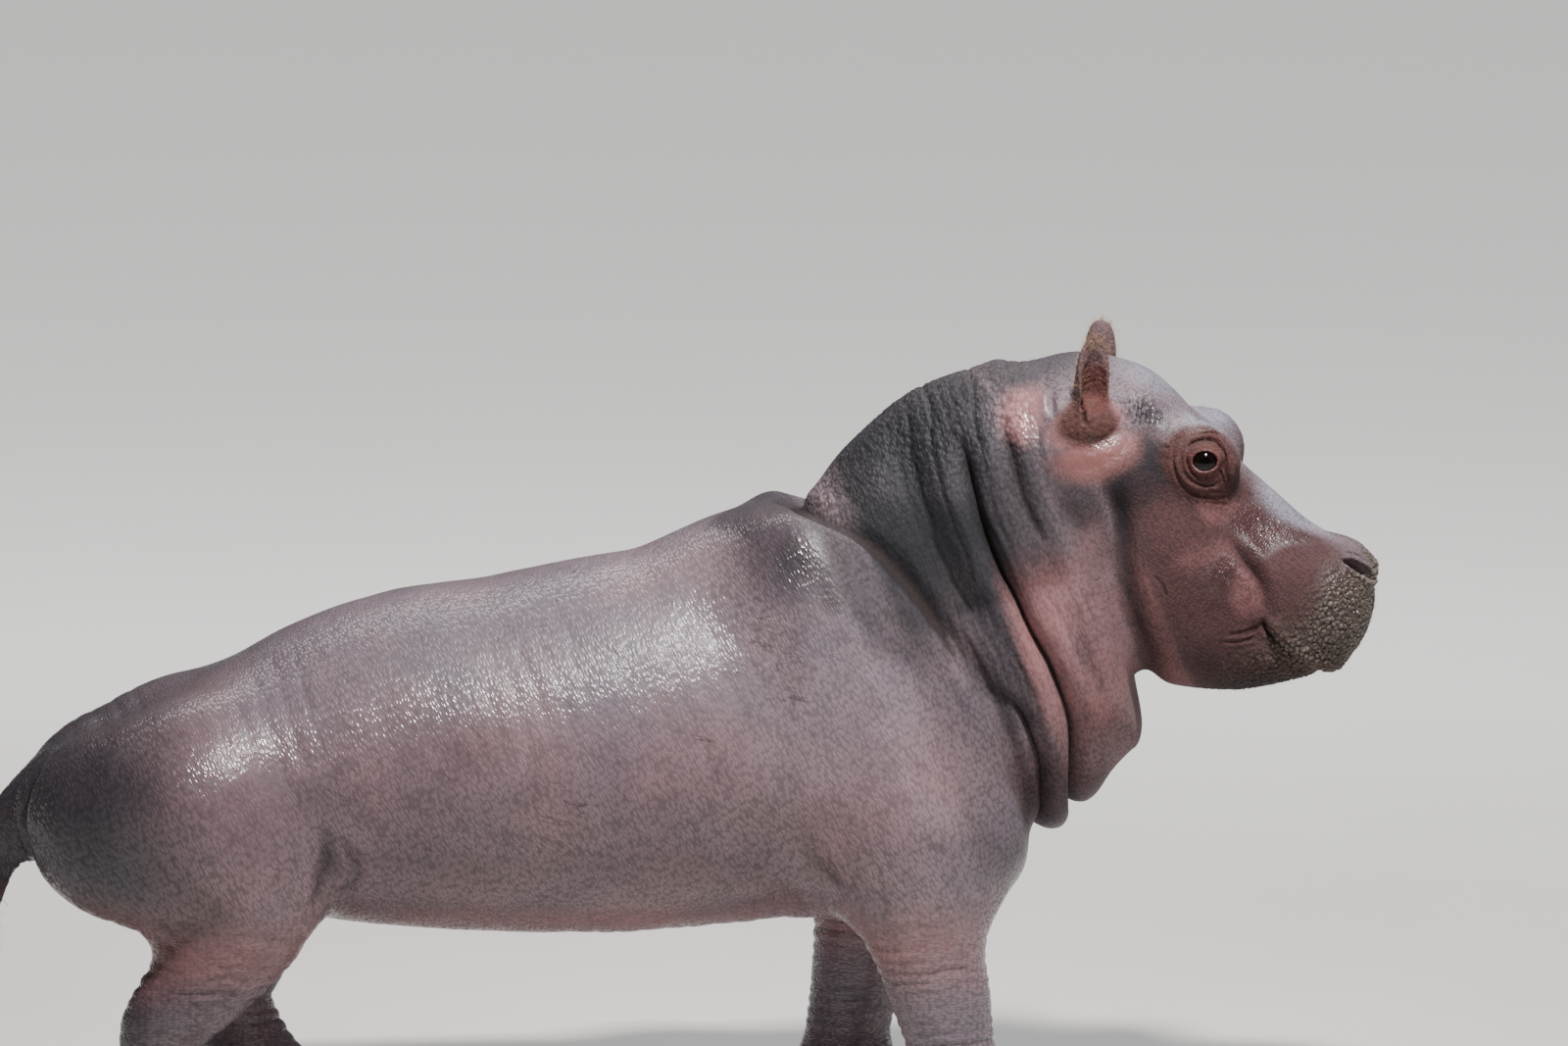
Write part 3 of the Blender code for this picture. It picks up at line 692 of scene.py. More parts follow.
def neck_frame(points):
    """Along the neck line and up from it."""
    line = axes(NECK_PITCH)
    return points @ line[0], points @ line[2]


def roll_edge(off, depth, width, bulge, breadth):
    """A sharp fold at off = 0 between two soft rolls."""
    cusp = -depth * np.exp(-((np.hypot(off, 0.0012) - 0.0012) / width))
    return cusp + bulge * bell(np.abs(off) - breadth, 0.75 * breadth)


# ---------------------------------------------------------------- neck and shoulder
# Fold lines in the neck frame: heights up the neck, and where the fold crosses each.
MAIN_FOLD = ((0.16, 0.460), (0.20, 0.478), (0.25, 0.494), (0.32, 0.493), (0.41, 0.478), (0.50, 0.475), (0.58, 0.490))
LOWER_FOLD = ((0.12, 0.405), (0.17, 0.430), (0.22, 0.446), (0.27, 0.447), (0.33, 0.415), (0.38, 0.392))
SHOULDER_EDGE = (
    (0.13, 0.385), (0.20, 0.400), (0.28, 0.405), (0.35, 0.392), (0.42, 0.366), (0.49, 0.328), (0.55, 0.262),
)
EAR_FOLD = ((0.42, 0.529), (0.48, 0.523), (0.56, 0.524), (0.62, 0.512))
NAPE_VALLEY = ((0.36, 0.432), (0.43, 0.421), (0.50, 0.417), (0.58, 0.425))
JOWL_EDGE = ((0.20, 0.566), (0.27, 0.571), (0.35, 0.585), (0.44, 0.606), (0.48, 0.615))
# The sharp folds: line, heights where it runs, then depth, width, bulge and breadth of its rolls.
ROLLS = (
    (EAR_FOLD, (0.445, 0.515, 0.035), (0.0070, 0.0045, 0.0020, 0.014)),
    (LOWER_FOLD, (0.12, 0.255, 0.06), (0.0125, 0.0045, 0.0035, 0.018)),
    (MAIN_FOLD, (0.14, 0.50, 0.05), (0.0165, 0.0050, 0.0045, 0.020)),
)
# Finer folds beside the main one: how far before it, heights, depth in millimetres.
SIDE_FOLDS = (
    (-0.052, 0.40, 0.56, 1.6), (-0.030, 0.44, 0.58, 1.8), (0.018, 0.45, 0.58, 1.4),
    (0.030, 0.30, 0.40, 1.0), (-0.020, 0.26, 0.36, 1.2), (-0.034, 0.25, 0.34, 1.2),
)


def in_front_of(points, fold):
    """How far in front of a fold line of the neck each point lies."""
    along, up = neck_frame(points)
    heights, places = np.array(fold).T
    return along - ease(up, heights, places)


def fold_neck(skin):
    """The rolls of neck and throat, and the shoulder's edge standing over the neck."""
    points = skin.points
    up = neck_frame(points)[1]
    wander = points + 0.004 * noise(points, 0.05, 3)[:, None]
    off = in_front_of(wander, SHOULDER_EDGE)
    step = 0.008 * bell(np.clip(off, -1, 0), 0.030) * bell(np.clip(off, 0, 1), 0.007)
    skin.push(band(up, 0.17, 0.53, 0.05) * (step - 0.009 * bell(off - 0.020, 0.011)))
    off = in_front_of(points, NAPE_VALLEY)
    skin.push(-0.0075 * band(up, 0.40, 0.53, 0.06) * bell(off, 0.019))
    off = in_front_of(points, JOWL_EDGE)
    skin.push(-0.0115 * band(up, 0.24, 0.42, 0.05) * bell(off, 0.014))
    skin.push(0.006 * band(up, 0.24, 0.42, 0.06) * bell(off + 0.032, 0.018))
    for line, heights, rolls in ROLLS:
        skin.push(band(up, *heights) * roll_edge(in_front_of(wander, line), *rolls))


def wrinkle_neck(skin):
    """Finer folds beside the great ones, and wrinkles a centimetre apart over nape and throat."""
    points = skin.points
    along, up = neck_frame(points)
    height = np.zeros(skin.count)
    before = in_front_of(points, MAIN_FOLD) + 0.003 * noise(points, 0.03, 11)
    for place, low, high, depth in SIDE_FOLDS:
        height -= MM * depth * band(up, low, high, 0.05) * bell(before - place, 0.0028)
    skin.push(height)
    bent = along + 0.006 * noise(points, 0.05, 5) + 0.002 * noise(points, 0.015, 6)
    patchy = steps(noise(points, 0.035, 7), -0.25, 0.5)
    where = band(along, 0.34, 0.56, 0.05) * band(up, 0.33, 0.60, 0.08)
    skin.push(-0.0010 * ridges(bent, 0.0105, 3) * patchy * where)


# ---------------------------------------------------------------- head
# Creases round the eye, as (ahead, up) in millimetres from its middle, then depth and width.
EYE_CREASES = (
    (
        ((-17, 9), (-15, 15), (-8, 20), (2, 21.5), (11, 19.5), (17, 12), (20, 2), (21, -9), (23, -20), (24, -28)),
        3.4, 1.4,
    ),
    (((-7, 25.5), (2, 28.5), (12, 27), (20, 20), (24.5, 10), (26, 0), (27, -11)), 2.0, 1.3),
    (((-2, 33), (9, 32.5), (18, 27.5), (24.5, 20)), 1.2, 1.3),
    (((-16.5, 9), (-17.5, 0), (-15.5, -7.5), (-10, -12.5), (-2, -14.5), (6, -14.5), (12, -12)), 1.3, 0.9),
    (((-22, 9), (-22.5, 0), (-20, -10), (-13, -18), (-3, -22), (8, -22), (15, -18.5)), 2.0, 1.3),
    (
        ((-29, 16), (-31, 3), (-28.5, -10), (-22, -21), (-12, -29), (0, -32.5), (12, -32.5), (22, -31), (30, -35)),
        2.0, 1.8,
    ),
    (((2, -26), (13, -26.5), (22, -28), (30, -31)), 1.5, 1.0),
    (((0, -38), (14, -38), (27, -39)), 1.2, 1.2),
    (((13, -6), (16, -12), (19.5, -20), (22.5, -27)), 1.8, 1.0),
    (((-45, 14.5), (-39, 14), (-34, 13)), 1.6, 2.0),
)
# Rolls of the lids, by how far past the opening: height, place, breadth in millimetres.  Upper, then lower.
UPPER_LID = ((2.6, 6.0, 3.4),)
LOWER_LID = ((1.2, 2.2, 1.6), (1.6, 8.5, 2.8), (2.0, 16.5, 4.0))

# Grooves on the left side, in millimetres: path, depth, width, height of the lips; then how much of each
# end fades out, and how sharp the bottom is.
LIP_FOLD = (
    ((528, 66, 590), (536, 74, 575), (549, 79, 558), (560, 83, 538), (564.5, 86, 515), (565, 87, 498)),
    11, 6, 2.4, 0.5, 0.7,
)
CHEEK_CREASES = (
    (((528, 88, 486.5), (547, 88, 489), (567, 87, 496)), 1.3, 2, 0.6),
    (((522, 88, 479), (540, 88, 480), (560, 86, 484)), 1, 1.6, 0.6),
    (((460, 101, 545), (467, 101, 536), (471, 101, 524.5)), 1.8, 1.3, 0.7),
)
MOUTH_LINE = (
    (562, 87.5, 505), (565.5, 86.5, 492), (574, 85, 481.5), (588, 80, 468), (601, 73, 457.5), (616, 60, 449.5),
    (628, 40, 444), (634, 18, 441.5), (635, 0, 441),
)
NOSTRIL = ((637.5, 54.5, 555.5), (645, 53.5, 551.5), (653.5, 49.5, 545.5), (661, 43, 539.5), (666, 36, 534.5))
NOSTRIL_FOLD = (((640, 46, 564), (650, 40, 558.5), (661, 30, 549), (668, 23, 538)), 1.6, 1.4, 0.8)
UNDER_EAR = (
    ((366, 84, 686), (379, 90, 675.5), (395, 91.5, 672), (412, 88, 676.5), (424.5, 80, 688), (427.5, 69, 704),
     (426, 58, 718)),
    2.8, 4.6, 0, 0.45, 0.8,
)
BEHIND_EAR = (((360, 50, 722), (358, 66, 706), (362, 78, 692)), 3, 3.4, 1.2, 0.4)
BEFORE_EAR = [
    (((x - 2, 54, 718.5 - 2.5 * k), (x + 1, 66, 704), (x - 1, 77, 689 - k)), 2.2, 1.3, 1.2, 0.4)
    for k, x in enumerate((432.5, 437, 442, 447.5))
]
EAR_CANAL = (((386.5, 92, 718), (388.5, 94, 708), (389.5, 94.5, 697), (390, 95, 688)), 6, 2, 1.2, 0.3)
# Fine slanting wrinkles of the face: centre, radii, degrees off upright, gap, depth; millimetres.
FACE_WRINKLES = (
    ((500, 85, 590), (55, 40, 45), 33, 5.6, 1.1),
    ((580, 70, 560), (40, 50, 40), 47, 5.8, 1.0),
    ((455, 90, 540), (40, 50, 70), 14, 6.2, 0.7),
    ((420, 85, 610), (36, 50, 45), 24, 6.0, 0.8),
)
PEBBLY_SPOTS = (
    (1.0, (372, 45, 735), (60, 70, 36), 0.6),
    (1.0, (450, 62, 700), (48, 34, 28), 0.6),
    (0.55, (405, 82, 655), (50, 30, 20), 0.7),
    (0.80, (394, 86, 688), (38, 34, 26), 0.6),
    (0.55, (530, 86, 545), (48, 30, 38), 0.7),
    (0.40, (590, 75, 550), (34, 40, 40), 0.7),
    (0.50, (580, 50, 585), (58, 34, 24), 0.7),
)


def eye_frame():
    """The eye's outward axis, forward and up directions, on the left side."""
    outward = np.array([0.05, 0.975, 0.20])
    outward /= np.linalg.norm(outward)
    forward = np.cross(np.cross(outward, (1.0, 0, 0)), outward)
    forward /= np.linalg.norm(forward)
    return outward, forward, np.cross(forward, outward)


def open_eyes(skin):
    """Lays lids round the eyeball and the rolls and creases of the socket about them."""
    outward, forward, above = eye_frame()
    local = on_left(skin.points) - EYE_CENTRE
    out, ahead, up = local @ outward, local @ forward, local @ above
    around = np.hypot(ahead, up) + 1e-9
    rim = 1 / np.hypot(ahead / around / LID_OPENING[0], up / around / LID_OPENING[1])
    past = around - rim
    close = np.linalg.norm(local, axis=1) < 0.060
    near = (around < 0.032) & (out > -0.004) & close
    # Over the eyeball the skin lies on a ball a little larger than the eye, and in the opening behind it.
    ball = EYE_RADIUS + LID_HEIGHT * (0.55 + 0.45 * steps(up, -0.004, 0.006))
    lid = np.sqrt(np.clip(ball**2 - around**2, 1e-6, None))
    hidden = np.sqrt(np.clip((EYE_RADIUS - 0.0045) ** 2 - around**2, 1e-8, None))
    over = 1 - steps(past, 0.003, 0.012)
    target = out + over * (np.maximum(lid, out - 0.004) - out)
    target = hidden + steps(past, -0.0012, 0.0012) * (target - hidden)
    move = np.where(near, target - out, 0)[:, None]
    skin.points += move * outward * np.where(skin.points[:, 1:2] < 0, (1, -1, 1), 1)
    skin.find_normals()

    socket = np.flatnonzero(close & (out > -0.020))
    flat = np.stack([ahead[socket], up[socket]], axis=1)
    past, raised = past[socket], steps(up[socket], -0.002, 0.006)
    height = np.zeros(len(socket))
    for share, rolls in ((raised, UPPER_LID), (1 - raised, LOWER_LID)):
        for tall, place, breadth in rolls:
            height += MM * tall * share * bell(past - MM * place, MM * breadth)
    for path, depth, width in EYE_CREASES:
        off, along = beside(flat, MM * curve(path))
        off /= MM * width
        fade = steps(along, 0, 0.18) * (1 - steps(along, 0.82, 1))
        height += MM * depth * fade * (0.3 * bell(off - 2.3, 1.2) - bell(off, 1))
    height += 0.0003 * noise(skin.points[socket], 0.004, 21) * steps(past, 0.001, 0.003)
    skin.push_at(socket, height)


def beside(flat, line):
    """How far each flat point lies from a line, and how far along it (0 to 1)."""
    best, place = np.full(len(flat), 9.0), np.zeros(len(flat))
    for k, (start, end) in enumerate(zip(line[:-1], line[1:], strict=True)):
        run = end - start
        t = np.clip((flat - start) @ run / (run @ run), 0, 1)
        gap = np.linalg.norm(flat - start - t[:, None] * run, axis=1)
        closer = gap < best
        best[closer], place[closer] = gap[closer], ((k + t) / (len(line) - 1))[closer]
    return best, place


def wrinkle_face(skin):
    """Fine slanting wrinkles under the eye, on the upper lip and over the cheek."""
    points = skin.points
    bent = points + 0.0025 * noise(points, 0.020, 35)[:, None]
    patchy = steps(noise(points, 0.022, 36), -0.5, 0.5)
    height = np.zeros(skin.count)
    for centre, radii, slant, gap, depth in FACE_WRINKLES:
        slant = math.radians(slant)
        across = bent[:, 0] * math.cos(slant) + bent[:, 2] * math.sin(slant)
        height -= MM * depth * ridges(across, MM * gap, 2) * patchy * spot(points, centre, radii, 0.7)
    skin.push(height)


def open_mouth_line(skin):
    """The closed mouth: a deep line from its corner, round under the overhanging upper lip."""
    near, off, along = trace(skin, MOUTH_LINE, 0.035)
    line = 0.0095 * np.exp(-np.abs(off / 0.0024) ** 1.4)
    rolls = 0.0045 * bell(off + 0.010, 0.009) - 0.0030 * bell(off - 0.008, 0.008)
    skin.push_at(near, steps(along, 0, 0.10) * (rolls - line))


def open_nostrils(skin):
    """A slit on each mound, slanting down and forward, with a firm rim and a fold above."""
    near, off, along = trace(skin, NOSTRIL, 0.020)
    open_here = np.sqrt(np.clip(np.sin(math.pi * np.clip(along, 0.02, 0.98)), 0, 1))
    half = 0.0044 * open_here + 0.0004
    hole = 1 - steps(np.abs(off), half - 0.0012, half + 0.0014)
    rim = bell(np.abs(off) - half - 0.0032, 0.0024) * steps(along, 0, 0.2)
    skin.push_at(near, 0.0028 * rim - 0.0085 * hole * open_here)
    crease(skin, NOSTRIL_FOLD)


def stud_muzzle(skin):
    """The pads of bristle roots that roughen the muzzle, lips and chin."""
    points = skin.points
    edge = 0.232 + 0.30 * (points[:, 2] - 0.49) + 0.010 * noise(points, 0.016, 33)
    where = steps(points @ axes(HEAD_PITCH)[0] - edge, -0.035, 0.030) * band(points[:, 2], 0.40, 0.552, 0.023)
    where *= 1 - 0.95 * spot(points, (653, 45, 553), (30, 24, 20), 0.6)
    where = np.maximum(where, 0.85 * spot(points, (590, 45, 438), (85, 60, 30), 0.7))
    near = np.flatnonzero(where > 0.01)
    spots = points[near]
    first, second = grains(spots + 0.0012 * noise(spots, 0.004, 2)[:, None], 0.0044, 31)
    fine = grains(spots, 0.0026, 47)[0]
    pads = 1 - np.clip(first / 0.72, 0, 1) ** 2.4
    gaps = 1 - steps(second - first, 0.0, 0.22)
    skin.push_at(near, where[near] * (0.0020 * pads - 0.0006 * gaps + 0.0005 * (1 - fine)))
    skin.nodules = where


def pebble_crown(skin):
    """Small bumps behind and before the ears, on the cheek cushion and along the bridge."""
    along, up = neck_frame(skin.points)
    where = 0.9 * band(along, 0.40, 0.53, 0.04) * steps(up, 0.47, 0.53)
    where = np.maximum(where, strongest(skin.points, PEBBLY_SPOTS))
    near = np.flatnonzero(where > 0.01)
    first = grains(skin.points[near], 0.0054, 53)[0]
    skin.push_at(near, where[near] * (0.0012 * (1 - np.clip(first / 0.75, 0, 1) ** 2) - 0.0004))


def root_ears(skin):
    """The plump bulb each ear stands on, the creases round it and the slit of the ear canal."""
    skin.push(0.0050 * spot(skin.points, (394.5, 80, 692), (34, 34, 26), 0.9))
    crease(skin, UNDER_EAR)
    crease(skin, BEHIND_EAR)
    crease(skin, *BEFORE_EAR)
    crease(skin, EAR_CANAL)


# ---------------------------------------------------------------- trunk, legs and tail
BODY_CREASES = (
    (((108, 120, 300), (112, 130, 275), (128, 135, 245), (150, 120, 220)), 3.6, 9.5, 1.8, 0.45),  # behind the elbow
    (((-372, 150, 330), (-358, 155, 285), (-362, 145, 240), (-385, 120, 205)), 4.8, 10, 2.2, 0.4),  # flank to thigh
    (((-345, 160, 310), (-332, 160, 262), (-340, 145, 225)), 2.8, 5, 1.4),
    (((-612, 45, 372), (-628, 50, 320), (-622, 47, 268), (-590, 42, 230)), 6, 7, 2.6, 0.35),  # buttock to tail
    (((-628, 12, 262), (-612, 10, 220), (-570, 8, 190)), 6, 7, 2),
)
BENDS = (0.165, 0.090), (0.155, 0.085)  # heights of the bends in fore and hind legs
BEND_RINGS = ((-0.022, 1.0), (-0.011, 1.6), (0, 2.4), (0.011, 1.6), (0.022, 1.0))  # rise, depth in millimetres


def swell(skin):
    """Slow unevenness of flesh under the skin."""
    body = 1 - steps(neck_frame(skin.points)[0], 0.5, 0.6)
    lumps = 0.0014 * noise(skin.points, 0.07, 13) + 0.0006 * noise(skin.points, 0.028, 14)
    skin.push(body * steps(skin.points[:, 2], 0.01, 0.04) * lumps)


def wrinkle_body(skin):
    """Long soft wrinkles on the sides."""
    points = skin.points
    bent = points[:, 0] + 0.35 * (points[:, 2] - 0.4) + 0.012 * noise(points, 0.09, 8) + 0.004 * noise(points, 0.03, 9)
    patchy = steps(noise(points, 0.08, 10), 0.0, 0.6)
    where = band(points[:, 0], -0.56, 0.25, 0.08) * band(points[:, 2], 0.20, 0.46, 0.06)
    skin.push(-0.0009 * ridges(bent, 0.024, 4) * patchy * where)


def wrinkle_leg(skin, foot_x, side, bends):
    """Rings of folds at knee, hock and fetlock, and grooves between the toes."""
    points = skin.points
    x, z = points[:, 0], points[:, 2]
    mine = (points[:, 1] * side > 0.02) * band(x, foot_x - 0.09, foot_x + 0.09, 0.03)
    wavy = z + 0.004 * noise(points, 0.035, 17) + 0.10 * (x - foot_x) ** 2
    height = -0.0006 * ridges(wavy, 0.0085, 3) * steps(noise(points, 0.03, 18), -0.2, 0.4)
    for bend in bends:
        for rise, depth in BEND_RINGS:
            height -= MM * depth * bell(wavy - bend - rise, 0.0026)
    height *= mine * (1 - steps(z, 0.21, 0.25)) * steps(z, 0.035, 0.055)
    foot = points[:, :2] - (foot_x, side * FOOT_Y)
    turn = np.degrees(np.arctan2(foot[:, 1] * side, foot[:, 0]))
    for angle in (-39, 0, 39):
        cleft = bell(turn - angle, 5.5) * band(z, 0.0, 0.036, 0.016)
        height -= 0.0035 * mine * cleft * steps(np.hypot(*foot.T), 0.026, 0.040)
    skin.push(height * steps(z, 0.001, 0.006))


def ring_tail(skin):
    x, y, z = skin.points.T
    where = band(z, 0.14, 0.31, 0.02) * (1 - steps(x, -0.655, -0.640)) * (np.abs(y) < 0.04)
    skin.push(-0.0009 * ridges(z + 0.003 * noise(skin.points, 0.02, 19), 0.009, 2) * where)


def shape(obj):
    """All the folds and wrinkles, from the greatest to the finest."""
    skin = Skin(obj)
    swell(skin)
    fold_neck(skin)
    wrinkle_neck(skin)
    crease(skin, *BODY_CREASES)
    wrinkle_body(skin)
    crease(skin, LIP_FOLD)
    crease(skin, *CHEEK_CREASES)
    wrinkle_face(skin)
    root_ears(skin)
    open_mouth_line(skin)
    open_nostrils(skin)
    open_eyes(skin)
    for name, side in SIDE.items():
        wrinkle_leg(skin, FORELEG_FEET[name], side, BENDS[0])
        wrinkle_leg(skin, HINDLEG_FEET[name], side, BENDS[1])
    ring_tail(skin)
    skin.relax(0.25)
    pebble_crown(skin)
    stud_muzzle(skin)
    skin.points[:, 2] = np.where(skin.points[:, 2] < 0.0012, 0.0, skin.points[:, 2])  # flat soles
    skin.find_normals()
    return skin


# ---------------------------------------------------------------- markings
# Patches of colour on the loose skin: share, middle, radii (both in millimetres) and softness of the edge.
SLATE_AND_SHADE_SPOTS = (
    (0.80, (325, 0, 745), (125, 85, 70), 0.6),
    (0.70, (453, 66, 694), (34, 32, 26), 0.7),
    (0.34, (628, 50, 540), (36, 40, 28), 0.8),
    (0.88, (450, 85, 646), (44, 50, 48), 0.8),
    (0.35, (500, 90, 470), (60, 50, 40), 0.8),
    # Painted shade under the throat.
    (0.72, (365, 70, 330), (80, 90, 75), 0.7),
    # Under the chin: painted shade, with the chin's own darker colour.
    (0.98, (575, 50, 420), (115, 90, 45), 0.7),
    # Painted shade in the hollow before the thigh.
    (0.28, (-250, 165, 380), (110, 80, 100), 0.9),
    # On the neck below the ear: painted shadow of the head, over the neck's own grey.
    (0.75, (335, 100, 575), (45, 50, 60), 0.8),
)
# The same on the neck: share, then from, to and softness along it and up it.
SLATE_AND_SHADE_BANDS = (
    # Painted shadow that the head casts on the side of the neck, over its own grey.
    (0.95, (0.42, 0.540, 0.018), (0.39, 0.515, 0.03)),
    (0.74, (0.505, 0.585, 0.018), (0.39, 0.510, 0.03)),
    (0.70, (0.425, 0.468, 0.014), (0.27, 0.40, 0.04)),
    (0.45, (0.36, 0.44, 0.03), (0.20, 0.36, 0.10)),
)
BLUSH_SPOTS = (
    (0.48, (396, 95, 520), (34, 60, 100), 0.8),
    (0.58, (553, 86, 535), (24, 40, 36), 0.7),
    (0.30, (515, 83, 566), (42, 40, 22), 0.8),
    (0.10, (485, 95, 480), (65, 50, 50), 0.8),
    (0.52, (522, 70, 610), (48, 40, 20), 0.8),
)
FLUSHED_SPOTS = (
    (1.10, (335, 66, 702), (36, 50, 44), 0.8),
    (1.05, (398, 90, 658), (52, 40, 32), 0.8),
    (0.80, (392, 78, 690), (40, 40, 30), 0.5),
    (0.45, (160, 140, 340), (160, 100, 160), 0.9),
)
# Pale bluish grey on forehead, bridge, brow and shoulder: partly the hide's own paler grey, partly a painted
# reflection of the sky and a painted highlight on faces turned up to the light.
PALE_SHEEN_SPOTS = (
    (0.75, (470, 0, 735), (75, 50, 36), 0.7),
    (0.75, (585, 0, 600), (80, 46, 45), 0.6),
    (0.70, (512, 40, 692), (36, 40, 22), 0.6),
    (0.22, (130, 160, 395), (120, 80, 120), 0.9),
)
RUST_SPOTS = ((0.40, (350, 70, 345), (75, 90, 60), 0.7), (0.35, (400, 88, 652), (50, 30, 20), 0.7))
WET_SPOTS = (
    (1.00, (575, 48, 590), (75, 42, 36), 0.7),  # along the bridge's edge
    (0.80, (580, 0, 605), (80, 50, 40), 0.7),
    (0.95, (455, 55, 700), (50, 36, 30), 0.7),  # before the ear
    (0.75, (465, 0, 730), (80, 60, 40), 0.7),
    (1.00, (392, 90, 662), (52, 32, 22), 0.7),  # under the ear
    (0.85, (350, 68, 698), (32, 34, 42), 0.7),
    (0.95, (514, 50, 686), (36, 36, 22), 0.7),  # brow
    (0.70, (530, 88, 545), (38, 30, 30), 0.7),
    (0.85, (640, 60, 510), (60, 70, 70), 0.7),
)
FACE_SPOT = (500, 90, 530), (200, 130, 175), 0.3
# Darker under the chin: painted shade, with the chin's own muddier colour.
CHIN_SHADE_SPOT = (0.90, (560, 0, 440), (150, 120, 55), 0.6)
JOWL_SPOT = (402, 95, 505), (36, 60, 105), 0.8
CANAL_SPOT = (388.5, 94, 706), (7, 20, 24), 0.8
BULB_SPOT = (394.5, 85, 690), (38, 34, 30), 0.4
NOSTRIL_SPOT = (653.5, 44, 544), (20, 12, 10), 0.5
BARE_CHIN_SPOT = (575, 40, 430), (110, 100, 45), 0.6
EAR_FRONT_SPOT = (450, 62, 700), (50, 36, 30), 0.6


def most(*layers):
    """The greatest of several layers at each point."""
    return np.max(layers, axis=0)


def mark(skin):
    """Where each colour and finish of the hide lies, as a value per point."""
    p = skin.points
    left = on_left(p)
    x, y, z = left.T
    along, up = neck_frame(p)
    head = p @ axes(HEAD_PITCH)[0]
    patch = 0.5 + 0.5 * noise(p, 0.045, 61)
    speckle = 0.5 + 0.5 * noise(p, 0.012, 62)
    loose = p + 0.012 * noise(p, 0.04, 63)[:, None]
    before_jowl = in_front_of(loose, JOWL_EDGE)
    valley = bell(before_jowl - 0.008, 0.019) * band(up, 0.25, 0.46, 0.05)

    # Dark red-brown of the face; under the chin it also holds painted shade.
    face = most(
        spot(loose, *FACE_SPOT) * steps(before_jowl, -0.018, 0.008),
        strongest(loose, [CHIN_SHADE_SPOT, (0.55, *JOWL_SPOT)]),
    )
    # Slate grey of the hide with painted shade laid in: the head's shadow on the neck, the throat, under the chin, the
    # hollow before the thigh and the ear canal. Elsewhere it is darker along the valley before the jowl, low on the
    # front of the neck, low on the flanks, towards the rump, over the withers and along the shoulder's edge.
    slate_and_shade = most(
        strongest(loose, SLATE_AND_SHADE_SPOTS),
        *(share * band(along, *lengthwise) * band(up, *upright) for share, lengthwise, upright in SLATE_AND_SHADE_BANDS),
        band(along, 0.365, 0.50, 0.045) * steps(up, 0.30, 0.42),
        valley * (0.45 + 0.40 * steps(up, 0.30, 0.40)),
        0.42 * band(along, 0.45, 0.56, 0.03) * (1 - steps(up, 0.25, 0.34)),
        # Painted shade in the ear canal.
        0.90 * spot(p, *CANAL_SPOT),
        0.30 * band(x, -0.48, 0.06, 0.10) * band(z, 0.20, 0.33, 0.07),
        0.76 * (1 - steps(x, -0.62, -0.36)),
        0.88 * steps(x, -0.02, 0.10) * steps(z, 0.49, 0.57) * (1 - steps(along, 0.28, 0.35)),
        0.72 * band(in_front_of(loose, SHOULDER_EDGE), -0.042, 0.004, 0.024) * band(up, 0.38, 0.60, 0.10),
    )
    blush = 0.85 * band(along, 0.478, 0.60, 0.02) * (1 - steps(up, 0.33, 0.44)) * steps(up, 0.12, 0.31)
    blush = most(blush, strongest(loose, BLUSH_SPOTS)) * (1 - 0.85 * valley) * (1 - 0.52 * spot(loose, *JOWL_SPOT))
    blush = most(
        blush,
        strongest(loose, FLUSHED_SPOTS),
        0.22 * band(x, -0.45, 0.05, 0.10) * band(z, 0.20, 0.38, 0.08),
        0.6 * (1 - steps(z, 0.19, 0.26)) * steps(z, 0.12, 0.18),
    )
    blush *= 0.72 + 0.45 * patch
    blush *= 1 - 0.45 * steps(head, 0.02, 0.10) * (0.5 + 0.5 * noise(p, 0.008, 64))

    # Rings round the eye: bare pink at the rim, rust over the lids, and nothing pale near them.
    local = left - EYE_CENTRE
    outward, forward, above = eye_frame()
    ring = np.hypot(local @ forward / 0.0125, local @ above / 0.0105)
    facing = steps(local @ outward, -0.008, 0.003) * (np.linalg.norm(local, axis=1) < 0.05)
    # The pale patches, partly painted reflection and highlight, are kept off the lids.
    pale = strongest(loose, PALE_SHEEN_SPOTS) * (1 - facing * (1 - steps(ring, 2.8, 3.9)))
    lids = np.hypot(local @ forward / 0.0130, (local @ above - 0.0060) / 0.0115)
    rust = facing * steps(ring, 0.9, 1.5) * (1 - steps(lids + 0.3 * noise(p, 0.014, 65), 2.6, 3.8))
    rust = most(rust, strongest(loose, RUST_SPOTS)) * (0.7 + 0.4 * speckle)
    raw = facing * (1 - steps(ring, 1.05, 1.9)) * (0.75 + 0.25 * speckle)

    inside = (left - EAR_CENTRE) @ axes(math.radians(EAR_PITCH), math.radians(EAR_YAW)).T
    ear = 1 - steps(blunt_egg(inside, EAR_RADII), 0.001, 0.006)
    cup = ear * (1 - steps(blunt_egg(inside - EAR_HOLLOW_CENTRE, EAR_HOLLOW_RADII), 0.0006, 0.0030))
    bulb = spot(left, *BULB_SPOT)
    nostril = spot(left, *NOSTRIL_SPOT) * steps(skin.hollows(12), 0.0008, 0.0030)
    raw = most(raw, (0.55 + 0.40 * band(inside[:, 2], -0.030, 0.012, 0.012)) * cup, nostril)
    rust = most(rust, 0.6 * ear * (1 - cup), 0.95 * bulb)

    wet = 0.84 + 0.14 * noise(p, 0.07, 71)
    on_neck = band(along, 0.325, 0.60, 0.03) * steps(up, 0.10, 0.20)
    wet += on_neck * (0.15 + 0.22 * steps(up, 0.46, 0.54) - wet)
    wet = np.minimum(wet, 1 - 0.86 * steps(along, 0.58, 0.63))
    wet = most(wet, strongest(loose, WET_SPOTS))
    wet = np.where(facing * (1 - steps(ring, 2.4, 3.2)) > 0.5, 0.28, wet)
    wet = most(wet, 0.60 * facing * (1 - steps(ring, 1.0, 1.3)))
    wet = np.minimum(wet, 1 - 0.85 * most(ear, 0.8 * bulb * steps(z, 0.668, 0.682)))

